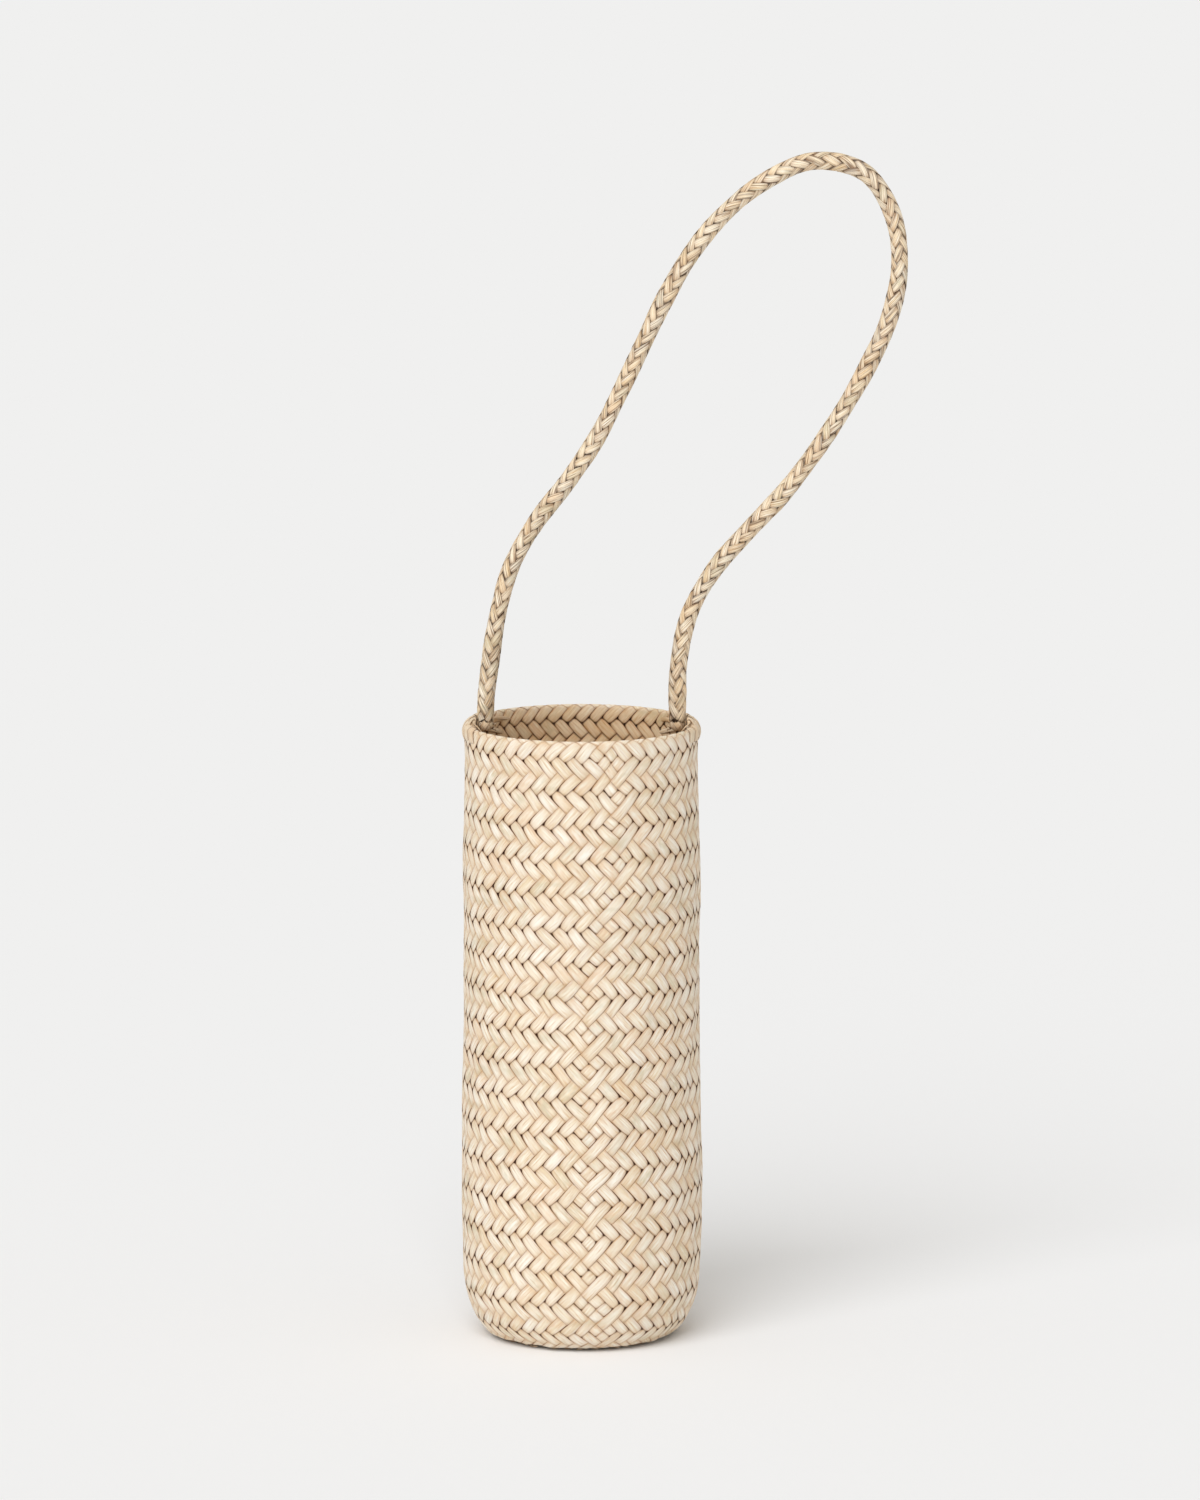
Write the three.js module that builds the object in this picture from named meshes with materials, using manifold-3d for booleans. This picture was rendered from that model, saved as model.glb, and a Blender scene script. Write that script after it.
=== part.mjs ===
// Hanging basket: a tall woven tube with a round heel, a folded rim and a braided rope handle.
// Millimetres, +Z up. The origin is the middle of the base, on the plane that the basket stands on.
// X runs from one end of the handle to the other, and the handle leans towards +X.

import * as THREE from 'three';
import { mergeVertices } from 'three/addons/utils/BufferGeometryUtils.js';
import Module from 'manifold-3d';

const wasm = await Module();
wasm.setup();

// Clearance between pieces that touch
const GAP = 0.3;

// Woven body
const RIM_HEIGHT = 312;
const RIM_RADIUS = 59;
const WALL = 2.2;
const BASE_THICKNESS = 2.4;
const HEEL_INSET = 18;
const HEEL_RISE = 38;
// How far the wall swells past the rim's radius, and at what share of the height
const HEEL_SWELL = 1.4;
const BELLY_SWELL = 2;
const BELLY_AT = 0.25;
const WAIST_SWELL = 0.5;
const WAIST_AT = 0.62;
const SHOULDER_SWELL = 0.9;
const SHOULDER_AT = 0.78;
const BODY_SIDES = 64;
const HEEL_STEPS = 8;
const WALL_STEPS = 18;

// Folded rim: a round lip on the wall's top edge, with a skirt turned down inside
const LIP_HEIGHT = 3;
const SKIRT = 1.7;
const SKIRT_DEPTH = 28;
const LIP_STEPS = 8;

// Rope handle
const ROPE_DIAMETER = 8.6;
const ROPE_SIDES = 12;
const ROPE_STEPS = 64;
const PIVOT_DROP = 1;
// The route between the two ends: X, and the height above the ends
const ROPE_ROUTE = [
  [-47.6, 14],
  [-45.8, 29],
  [-41.9, 54.5],
  [-35, 79.5],
  [-22.5, 102],
  [-6.8, 122.5],
  [7.5, 144],
  [19.2, 167],
  [30.3, 190.5],
  [41.5, 214],
  [54.5, 236.5],
  [71, 256.5],
  [91, 272.5],
  [115, 282.5],
  [140, 277],
  [154, 256.5],
  [157.8, 231],
  [153.3, 205.5],
  [143.2, 182],
  [130.5, 159],
  [116.5, 137.5],
  [101, 117],
  [83.5, 98],
  [66.6, 78.5],
  [54, 56],
  [48.6, 31],
  [47.9, 14],
];

// Handle ends: the rope's strands, wrapped over the lip and tucked in behind the skirt
const WRAP = 1.5;
const WRAP_WIDTH = 13;
const WRAP_DROP = 10.5;
const STRAP = 1.9;
const KNOT_DEPTH = 10.8;
const KNOT_HEIGHT = 20;
const KNOT_SHOULDER = 4;
const KNOT_FOOT = 3;
const KNOT_WIDTH = 18;
const SEAT_CLEARANCE = 0.3;
const SEAT_RISE = 0.5;
const END_SIDES = 96;
const BALL_SIDES = 24;

// Heights and radii that follow from the sizes above
const lipRadius = (WALL + GAP + SKIRT) / 2;
const lipMiddle = RIM_RADIUS - lipRadius;
const lipBottom = RIM_HEIGHT - LIP_HEIGHT;
const lipCentre = RIM_HEIGHT - lipRadius;
const wallTop = lipBottom - GAP;
const skirtInside = lipMiddle - lipRadius;
const skirtOutside = skirtInside + SKIRT;
const skirtBottom = RIM_HEIGHT - SKIRT_DEPTH;
const heelRadius = RIM_RADIUS + HEEL_SWELL;
const ropeRadius = ROPE_DIAMETER / 2;
const pivotHeight = RIM_HEIGHT - PIVOT_DROP;
const strapInside = skirtInside - GAP - STRAP;
const ropeEnd = strapInside - GAP - ropeRadius;

/** Turns a closed geometry into a solid for cutting and joining. */
function toSolid(geometry) {
  const bare = geometry.index ? geometry.toNonIndexed() : geometry.clone();
  bare.deleteAttribute('normal');
  bare.deleteAttribute('uv');
  const merged = mergeVertices(bare, 1e-4);
  return new wasm.Manifold(new wasm.Mesh({
    numProp: 3,
    vertProperties: new Float32Array(merged.attributes.position.array),
    triVerts: new Uint32Array(merged.index.array),
  }));
}

/** Turns a solid back into a geometry. */
function toGeometry(solid) {
  const mesh = solid.getMesh();
  const geometry = new THREE.BufferGeometry();
  geometry.setAttribute('position', new THREE.BufferAttribute(mesh.vertProperties, 3));
  geometry.setIndex(new THREE.BufferAttribute(mesh.triVerts, 1));
  geometry.computeVertexNormals();
  return geometry;
}

/** Revolves a profile of [radius, height] points about the Z axis. */
function revolve(profile, sides) {
  const points = profile.map(([radius, height]) => new THREE.Vector2(radius, height));
  return new THREE.LatheGeometry(points, sides).rotateX(Math.PI / 2);
}

/** Points on a quarter or half ellipse, from one angle to another. */
function ellipsePoints([middle, centre], [across, up], from, to, steps) {
  return Array.from({ length: steps + 1 }, (_, step) => {
    const angle = from + (to - from) * step / steps;
    return [middle + across * Math.cos(angle), centre + up * Math.sin(angle)];
  });
}

/** The wall's outer radius, from the top of the heel to the lip. */
const wallCurve = new THREE.CatmullRomCurve3([
  [heelRadius, HEEL_RISE],
  [RIM_RADIUS + BELLY_SWELL, RIM_HEIGHT * BELLY_AT],
  [RIM_RADIUS + WAIST_SWELL, RIM_HEIGHT * WAIST_AT],
  [RIM_RADIUS + SHOULDER_SWELL, RIM_HEIGHT * SHOULDER_AT],
  [RIM_RADIUS, skirtBottom],
  [RIM_RADIUS, wallTop],
].map(([radius, height]) => new THREE.Vector3(radius, height, 0)));

/** The outline of one face of the body, set in from the outer face by a wall and a base. */
function bodyOutline(wall, base) {
  const heelCentre = [heelRadius - HEEL_INSET, HEEL_RISE];
  const heelSize = [HEEL_INSET - wall, HEEL_RISE - base];
  const heel = ellipsePoints(heelCentre, heelSize, -Math.PI / 2, 0, HEEL_STEPS);
  const wallPoints = wallCurve.getPoints(WALL_STEPS).slice(1).map(({ x, y }) => [x - wall, y]);
  return [[0, base], ...heel, ...wallPoints];
}

/** Woven body: a flat base, a round heel and a slightly bulging wall, open at the top. */
function makeBody() {
  const inside = bodyOutline(WALL, BASE_THICKNESS).reverse();
  return revolve([...bodyOutline(0, 0), ...inside], BODY_SIDES);
}

/** Rim: the lip that caps the wall, and the skirt inside it. */
function makeRim() {
  const lip = ellipsePoints([lipMiddle, lipCentre], [lipRadius, lipRadius], 0, Math.PI, LIP_STEPS);
  return revolve([
    [RIM_RADIUS, lipBottom],
    ...lip,
    [skirtInside, skirtBottom],
    [skirtOutside, skirtBottom],
    [skirtOutside, lipBottom],
    [RIM_RADIUS, lipBottom],
  ], BODY_SIDES);
}

/** Handle: a rope along its route, with a ball at each end that turns on its seat. */
function makeRope() {
  const route = [[-ropeEnd, 0], ...ROPE_ROUTE, [ropeEnd, 0]];
  const path = new THREE.CatmullRomCurve3(route.map(([x, rise]) => new THREE.Vector3(x, 0, rise)));
  const section = new THREE.Shape().absarc(0, 0, ropeRadius, 0, 2 * Math.PI);
  const rope = toSolid(new THREE.ExtrudeGeometry(section, {
    steps: ROPE_STEPS,
    curveSegments: ROPE_SIDES,
    extrudePath: path,
  }));
  const ends = [-ropeEnd, ropeEnd].map((x) => {
    const ball = new THREE.SphereGeometry(ropeRadius, ROPE_SIDES, ROPE_SIDES);
    return toSolid(ball.rotateX(Math.PI / 2).translate(x, 0, 0));
  });
  return toGeometry(rope.add(ends[0]).add(ends[1]));
}

/** The strands that go over the lip, as a ring before it is cut to its width. */
function makeWrapRing() {
  const underside = lipRadius + GAP;
  const centre = [lipMiddle, lipCentre];
  const outside = underside + WRAP;
  const over = ellipsePoints(centre, [outside, outside], 0, Math.PI / 2, LIP_STEPS);
  const inward = ellipsePoints(centre, [lipMiddle - strapInside, outside], Math.PI / 2, Math.PI, LIP_STEPS);
  const under = ellipsePoints(centre, [underside, underside], Math.PI, 0, LIP_STEPS);
  return toSolid(revolve([
    [lipMiddle + underside, RIM_HEIGHT - WRAP_DROP],
    [lipMiddle + outside, RIM_HEIGHT - WRAP_DROP],
    ...over,
    ...inward.slice(1),
    [strapInside, pivotHeight - KNOT_HEIGHT],
    [lipMiddle - underside, pivotHeight - KNOT_HEIGHT],
    ...under,
    [lipMiddle + underside, RIM_HEIGHT - WRAP_DROP],
  ], END_SIDES));
}

/** A straight-sided block: an outline in X and Z, run along Y. */
function blockAlongY(outline, width) {
  const shape = new THREE.Shape(outline.map(([x, z]) => new THREE.Vector2(x, z)));
  const block = new THREE.ExtrudeGeometry(shape, { depth: width, bevelEnabled: false });
  return toSolid(block.rotateX(Math.PI / 2).translate(0, width / 2, 0));
}

/** A straight-sided block: an outline in Y and Z, run along X from zero. */
function blockAlongX(outline, length) {
  const shape = new THREE.Shape(outline.map(([y, z]) => new THREE.Vector2(y, z)));
  const block = new THREE.ExtrudeGeometry(shape, { depth: length, bevelEnabled: false });
  return toSolid(block.rotateX(Math.PI / 2).rotateZ(Math.PI / 2));
}

/** Handle end: strands wrapped over the lip, spread below the rope, with a round seat for its end. */
function makeHandleEnd() {
  const back = lipMiddle;
  const faceOutside = skirtInside - GAP;
  const knotTop = pivotHeight - ropeRadius + SEAT_RISE - SEAT_CLEARANCE;
  const knotBottom = pivotHeight - KNOT_HEIGHT;
  const knotFront = faceOutside - KNOT_DEPTH;
  const side = blockAlongY([
    [knotFront, knotTop],
    [knotFront, knotTop - KNOT_SHOULDER],
    [faceOutside - KNOT_FOOT, knotBottom],
    [back, knotBottom],
    [back, knotTop],
  ], KNOT_WIDTH);
  const fan = blockAlongX([
    [-WRAP_WIDTH / 2, knotTop],
    [-KNOT_WIDTH / 2, knotBottom],
    [KNOT_WIDTH / 2, knotBottom],
    [WRAP_WIDTH / 2, knotTop],
  ], RIM_RADIUS);
  const drum = toSolid(revolve([
    [0, knotBottom],
    [faceOutside, knotBottom],
    [faceOutside, knotTop],
    [0, knotTop],
  ], END_SIDES));
  const knot = side.intersect(fan).intersect(drum);
  const reach = RIM_RADIUS + WRAP_WIDTH;
  const strip = blockAlongX([
    [-WRAP_WIDTH / 2, 0],
    [WRAP_WIDTH / 2, 0],
    [WRAP_WIDTH / 2, RIM_HEIGHT + reach],
    [-WRAP_WIDTH / 2, RIM_HEIGHT + reach],
  ], reach);
  const ball = new THREE.SphereGeometry(ropeRadius + SEAT_CLEARANCE, BALL_SIDES, BALL_SIDES);
  const seat = toSolid(ball.rotateX(Math.PI / 2).translate(ropeEnd, 0, pivotHeight));
  return toGeometry(makeWrapRing().intersect(strip).add(knot).subtract(seat));
}

/** Makes a named mesh with its own finish. */
function makeMesh(name, geometry, color, roughness) {
  const mesh = new THREE.Mesh(geometry, new THREE.MeshStandardMaterial({ color, roughness, metalness: 0 }));
  mesh.name = name;
  return mesh;
}

const BODY_STRAW = 0xe7d5ba;
const RIM_STRAW = 0xe4d0b2;
const ROPE_STRAW = 0xd3bda1;
const END_STRAW = 0xd8c3a5;
const STRAW_ROUGHNESS = 0.75;

const basket = new THREE.Group();
basket.add(makeMesh('woven_body', makeBody(), BODY_STRAW, STRAW_ROUGHNESS));
basket.add(makeMesh('rim_border', makeRim(), RIM_STRAW, STRAW_ROUGHNESS));

const handle = new THREE.Group();
handle.position.z = pivotHeight;
handle.add(makeMesh('handle_rope', makeRope(), ROPE_STRAW, STRAW_ROUGHNESS));

const rightEnd = makeMesh('handle_end_right', makeHandleEnd(), END_STRAW, STRAW_ROUGHNESS);
const leftEnd = makeMesh('handle_end_left', makeHandleEnd(), END_STRAW, STRAW_ROUGHNESS);
leftEnd.rotation.z = Math.PI;

const group = new THREE.Group();
group.add(basket, handle, rightEnd, leftEnd);

export default group;
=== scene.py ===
"""Wall basket: a tall plaited straw cylinder with a folded rim and one long braided rope handle.

Every length is in millimetres until a mesh is written, which is in metres. Z is up, the rope's loop lies
in the plane y = 0, and the front of the basket faces -Y.
"""

import logging
import math
from dataclasses import dataclass, field, replace
from enum import Enum, IntEnum

import bpy
import numpy as np
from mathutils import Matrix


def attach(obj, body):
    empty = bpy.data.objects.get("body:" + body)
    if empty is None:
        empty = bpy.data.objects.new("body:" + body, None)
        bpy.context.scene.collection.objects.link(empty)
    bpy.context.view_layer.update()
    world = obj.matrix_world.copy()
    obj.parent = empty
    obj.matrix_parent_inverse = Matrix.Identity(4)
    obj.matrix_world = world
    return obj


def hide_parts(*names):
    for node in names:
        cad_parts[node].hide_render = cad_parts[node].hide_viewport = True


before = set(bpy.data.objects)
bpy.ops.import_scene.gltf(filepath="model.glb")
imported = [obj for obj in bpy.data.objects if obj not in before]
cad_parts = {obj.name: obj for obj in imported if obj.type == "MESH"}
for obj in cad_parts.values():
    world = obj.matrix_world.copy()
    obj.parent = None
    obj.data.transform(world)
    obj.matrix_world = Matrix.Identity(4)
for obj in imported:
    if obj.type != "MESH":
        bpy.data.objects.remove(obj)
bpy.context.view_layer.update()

LOG = logging.getLogger("wall_basket")
METRE = 0.001
# The layers that a straw mesh carries, and the socket of the straw's node group that reads each.
# The last one carries the strips' edges and where shade is painted.
LAYERS = {"straw_place": "Place", "straw_look": "Look", "straw_rim": "Rim"}
# Deep is painted shade for the gaps, and Inner a darker, warmer copy of the straw as painted shade inside.
COLOUR_SOCKETS = ("Pale", "Warm", "Shade", "Edge", "Deep", "Inner")
AMOUNT_SOCKETS = ("Edge amount", "Grain", "Stain", "Split")
# How far apart two neighbouring strips read the pattern of the grain.
GRAIN_STEP = 1.7
# How sharply a strip's edge thins out and darkens to a brown that is partly painted shade in the creases.
EDGE_POWER = 8
# A ring stands no closer than this, in levels, to a strip's end.
NEAREST_RING = 0.05
# How finely a smooth line is drawn between two of its points, and its least step.
SPAN_SAMPLES = 40
LEAST_STEP = 1e-9


class Lean(Enum):
    """Which way a strip leans as it climbs, seen from outside."""

    RIGHT = 1
    LEFT = -1


class Side(Enum):
    """The side of the basket on which a handle end sits."""

    RIGHT = 1
    LEFT = -1


class Finish(Enum):
    """The material slots of the basket."""

    BODY = "body_straw"
    RIM = "rim_straw"
    ROPE = "rope_straw"
    END = "end_straw"


class Drift(IntEnum):
    """What one of the hand's slow waves over the fabric changes."""

    UP = 0
    ROUND = 1
    RELIEF = 2
    LOOSENESS = 3


class Trait(IntEnum):
    """What a scattered value is for, so that no two traits of a strip go together."""

    TONE = 3
    STRIP_TONE = 5
    TINT = 8
    WIDTH = 21
    SHIFT = 31
    CROWN = 41
    TILT = 51
    # Strength of the painted shade in a float's gaps.
    WEAR = 61
    MAT_WIDTH = 4
    ROPE_WIDTH = 2
    ROPE_SHIFT = 7
    ROPE_CROWN = 9
    ROPE_TILT = 12
    ROPE_PINCH = 14
    ROPE_GAP = 17
    ROPE_EDGE = 23


def scatter(*keys: np.ndarray | float) -> np.ndarray:
    """Gives a repeatable scattered value for whole-number keys.

    Args:
        keys: numbers or arrays that name a strip, a float or a trait.

    Returns:
        Values from 0 to 1, the same on every run.
    """
    first_rate, rate_step, scale = 12.9898, 65.4127, 43758.5453
    mixed = sum(np.asarray(key, float) * (first_rate + rate_step * place) for place, key in enumerate(keys))
    value = np.sin(mixed) * scale
    return value - np.floor(value)


def waves(run: np.ndarray, parts: tuple) -> np.ndarray:
    """Adds up sine waves, each given by its height, its length over 2 pi and its start."""
    return sum(height * np.sin(run / length + start) for height, length, start in parts)


def ease(value: np.ndarray) -> np.ndarray:
    """Smooth step of a value that is held between 0 and 1."""
    held = np.clip(value, 0.0, 1.0)
    return held * held * (3.0 - 2.0 * held)


def unit(vectors: np.ndarray) -> np.ndarray:
    """Vectors along the last axis, each brought to a length of 1."""
    return vectors / np.linalg.norm(vectors, axis=-1, keepdims=True)


def run_length(line: np.ndarray) -> np.ndarray:
    """Distance along a line of points at each of them."""
    steps = np.linalg.norm(np.diff(line[:, :3], axis=0), axis=1)
    return np.concatenate([[0.0], np.cumsum(steps)])


def sample(line: np.ndarray, places: np.ndarray) -> np.ndarray:
    """Points of a line at given distances along it."""
    run = run_length(line)
    return np.column_stack([np.interp(places, run, column) for column in line.T])


def smooth_line(points: np.ndarray, step: float) -> np.ndarray:
    """Runs one smooth curve through points, evenly spaced.

    Args:
        points: the points that the curve passes, one row each.
        step: the distance between the samples, in the points' own unit.

    Returns:
        The samples, one row each.
    """
    whole = np.vstack([2 * points[0] - points[1], points, 2 * points[-1] - points[-2]])
    pieces = []
    for first in range(len(points) - 1):
        rows = list(whole[first : first + 4])
        knots = [0.0]
        for one, two in zip(rows, rows[1:]):
            knots.append(knots[-1] + max(np.linalg.norm((two - one)[:3]), LEAST_STEP) ** 0.5)
        t = np.linspace(knots[1], knots[2], SPAN_SAMPLES, endpoint=False)[:, None]
        for reach in (1, 2):
            rows = [
                rows[k] + (rows[k + 1] - rows[k]) * (t - knots[k]) / (knots[k + reach] - knots[k])
                for k in range(len(rows) - 1)
            ]
        pieces.append(rows[0] + (rows[1] - rows[0]) * (t - knots[1]) / (knots[2] - knots[1]))
    line = np.vstack([*pieces, points[-1:]])
    length = run_length(line)[-1]
    return sample(line, np.linspace(0.0, length, max(2, int(round(length / step)) + 1)))


def ring_levels(reach: tuple[float, float], marks: tuple) -> np.ndarray:
    """Levels of a strip's rings, closer together where strips dive under each other.

    Args:
        reach: first and last level.
        marks: places of the rings inside each level, from 0 to 1.

    Returns:
        The levels.
    """
    whole = np.arange(math.floor(reach[0]), math.ceil(reach[1]) + 1)
    along = (whole[:, None] + np.array(marks)).ravel()
    inside = along[(along > reach[0] + NEAREST_RING) & (along < reach[1] - NEAREST_RING)]
    return np.concatenate([[reach[0]], inside, [reach[1]]])


def shades(across: np.ndarray, buried: np.ndarray | float, inner: np.ndarray | float) -> np.ndarray:
    """Gathers a strip's edges and where it gets painted shade.

    Args:
        across: place across the strip, from -1 to 1.
        buried: 1 where a face lies under other strips, beside a gap, and gets painted shade.
        inner: 1 where a face looks into the basket, and gets painted shade.

    Returns:
        Nearness to the edge, painted shade where buried, and painted shade inside, on a last axis of 3.
    """
    return np.stack(np.broadcast_arrays(across**EDGE_POWER, buried, inner), axis=-1)


def grain_place(offset: np.ndarray, run: np.ndarray, strip: np.ndarray | int) -> np.ndarray:
    """Where points read the grain: across their strip, along it, and in a row of the strip's own."""
    return np.stack(np.broadcast_arrays(offset, run, strip * GRAIN_STEP), axis=-1)


def show(thing: bpy.types.Object) -> bpy.types.Object:
    """Puts an object into the scene and hands it back."""
    bpy.context.scene.collection.objects.link(thing)
    return thing


@dataclass
class StrawSection:
    """The cross section of a flat strip of straw: thin, a little arched, with sharp edges."""

    thickness: float = 0.28
    arch: float = 0.06
    top_points: int = 7
    under_points: int = 3

    def across(self) -> np.ndarray:
        """Place of each section point across the strip, from -1 to 1, once round the section.

        The points stand closer towards the edges, so that the face stays flat and the edges crisp.
        """
        top = np.sin(np.linspace(-math.pi / 2, math.pi / 2, self.top_points))
        under = np.linspace(1.0, -1.0, self.under_points + 2)[1:-1]
        return np.concatenate([top, under])

    def side(self) -> np.ndarray:
        """1 at the section points of the top face, -1 at those of the underside."""
        return np.where(np.arange(len(self.across())) < self.top_points, 1.0, -1.0)

    def height(self) -> np.ndarray:
        """Height of each section point over the strip's middle, in millimetres."""
        across = self.across()
        return self.arch * (1 - across**2) + 0.5 * self.side() * self.thickness * (1 - across**EDGE_POWER)


def straw(**sizes: float) -> StrawSection:
    """A piece's usual cross section, with some sizes of its own."""
    return field(default_factory=lambda: StrawSection(**sizes))


@dataclass
class StrawPiece:
    """Closed strips of straw that are gathered into one mesh."""

    name: str
    rings: list[np.ndarray] = field(default_factory=list)
    layers: dict[str, list[np.ndarray]] = field(default_factory=lambda: {name: [] for name in LAYERS})

    def add(self, rings: np.ndarray, place: np.ndarray, look: np.ndarray, dark: np.ndarray) -> None:
        """Adds strips that have the same number of rings.

        Args:
            rings: points in millimetres, as strips by rings by section points by 3.
            place: across, along and strip number at each point, for the grain.
            look: tone, nearness to a float's end, and tint at each point.
            dark: nearness to the strip's edge, then painted shade where the face lies buried and where it
                looks inwards.
        """
        self.rings.append(rings)
        for name, values in zip(LAYERS, (place, look, dark)):
            self.layers[name].append(np.broadcast_to(values, rings.shape))

    def add_strand(
        self,
        section: StrawSection,
        points: np.ndarray,
        offset: np.ndarray,
        run: np.ndarray,
        strip: int,
        ends: np.ndarray,
        inner: float = 0.0,
    ) -> None:
        """Adds one strand with painted shade towards its ends, where it goes in under other straw.

        Args:
            section: its cross section.
            points: points in millimetres, as rings by section points by 3.
            offset: distance of each point from the strand's middle.
            run: distance of each ring along the strand.
            strip: the strand's number.
            ends: nearness of each ring to an end.
            inner: how much painted shade it gets, like the basket's inner side.
        """
        look = np.stack(
            np.broadcast_arrays(scatter(strip, Trait.TONE), ends, scatter(strip, Trait.TINT)), axis=-1
        )
        dark = shades(section.across(), ends[:, None] ** 2, inner)
        self.add(points[None], grain_place(offset, run[:, None], strip)[None], look[None, :, None, :], dark)

    def build(self) -> bpy.types.Object:
        """Writes the strips as one smooth mesh with closed ends.

        Returns:
            The new object, with its place in its mesh.
        """
        corners, sizes, base = [], [], 0
        for rings in self.rings:
            index = base + np.arange(rings[..., 0].size).reshape(rings.shape[:3])
            beside = np.roll(index, -1, axis=2)
            walls = np.stack([index[:, :-1], beside[:, :-1], beside[:, 1:], index[:, 1:]], axis=-1)
            blocks = [walls.reshape(-1, 4), index[:, 0, ::-1], index[:, -1]]
            turned = self.signed_volume(rings[0]) < 0
            for block in blocks:
                corners.append((block[:, ::-1] if turned else block).ravel())
                sizes.append(np.full(len(block), block.shape[1]))
            base += index.size
        totals = np.concatenate(sizes)
        points = np.concatenate([rings.reshape(-1, 3) for rings in self.rings]) * METRE
        mesh = bpy.data.meshes.new(self.name)
        mesh.vertices.add(len(points))
        mesh.vertices.foreach_set("co", points.astype(np.float32).ravel())
        mesh.loops.add(int(totals.sum()))
        mesh.loops.foreach_set("vertex_index", np.concatenate(corners).astype(np.int32))
        mesh.polygons.add(len(totals))
        mesh.polygons.foreach_set("loop_start", (np.cumsum(totals) - totals).astype(np.int32))
        mesh.polygons.foreach_set("loop_total", totals.astype(np.int32))
        mesh.update(calc_edges=True)
        mesh.polygons.foreach_set("use_smooth", np.ones(len(totals), bool))
        for name, blocks in self.layers.items():
            values = np.concatenate([block.reshape(-1, 3) for block in blocks])
            layer = mesh.attributes.new(name, "FLOAT_VECTOR", "POINT")
            layer.data.foreach_set("vector", values.astype(np.float32).ravel())
        mesh.validate()
        return show(bpy.data.objects.new(self.name, mesh))

    @staticmethod
    def signed_volume(rings: np.ndarray) -> float:
        """Volume of one strip, above 0 where its side faces point outwards.

        Args:
            rings: its points, as rings by section points by 3.

        Returns:
            Six times the volume.
        """
        middle = rings.mean(axis=(0, 1))
        near, far = rings[:-1] - middle, rings[1:] - middle
        near_next, far_next = np.roll(near, -1, axis=1), np.roll(far, -1, axis=1)
        return float((np.cross(near, near_next) * far_next).sum() + (np.cross(near, far_next) * far).sum())


@dataclass
class Strips:
    """Some strips of one lean, and what they do at each of their rings.

    Each strip is given by its number and by whether it is on top at each whole level from the first one on.
    Arrays go by strips, rings and section points. The height goes from -1 under other strips to 1 on top,
    the crown is the same with each float arched, and the course is the number of the float.
    """

    section: StrawSection
    number: np.ndarray
    along: np.ndarray
    states: np.ndarray
    first: int
    ramp: float
    own_tone: float
    crown_power: float = 0.8

    def __post_init__(self) -> None:
        """Follows the strips through the crossings."""
        sign = np.where(self.states, 1.0, -1.0)
        rows, count = sign.shape
        closed = np.ones((rows, 1), bool)
        changes = np.concatenate([~closed, np.diff(self.states, axis=1) != 0], axis=1)
        leaves = np.concatenate([changes[:, 1:], closed], axis=1)
        order = np.arange(count) * np.ones((rows, 1))
        start = np.maximum.accumulate(np.where(changes, order, 0), axis=1)
        end = np.minimum.accumulate(np.where(leaves, order, count)[:, ::-1], axis=1)[:, ::-1]
        low = np.clip(np.floor(self.along - self.first).astype(int), 0, count - 2)
        part = self.along - self.first - low
        near = np.where(part < 0.5, low, low + 1)
        share = (self.along - self.first - start[:, near] + 0.5) / (end[:, near] - start[:, near] + 1)
        share = np.clip(share, 0, 1)[..., None]
        rise = ease((part - 0.5 + self.ramp) / (2 * self.ramp))
        self.height = (sign[:, low] + (sign[:, low + 1] - sign[:, low]) * rise)[..., None]
        self.crown = sign[:, near, None] * np.sin(math.pi * share) ** self.crown_power
        self.course = np.cumsum(changes, axis=1)[:, near, None]
        self.near_end = np.abs(2 * share - 1)
        self.number = self.number[:, None, None]
        self.along = self.along[:, None]

    def vary(self, limits: tuple[float, float], trait: Trait) -> np.ndarray:
        """A scattered value for each float, between two limits."""
        return limits[0] + (limits[1] - limits[0]) * scatter(self.number, self.course, trait)

    def look(self) -> np.ndarray:
        """Tone, nearness to a float's end and tint, on a last axis of 3."""
        tone_share = self.own_tone * scatter(self.number, self.course, Trait.TONE)
        tone_share = tone_share + (1 - self.own_tone) * scatter(self.number, Trait.STRIP_TONE)
        return np.stack([tone_share, self.near_end, scatter(self.number, self.course, Trait.TINT)], axis=-1)


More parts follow.
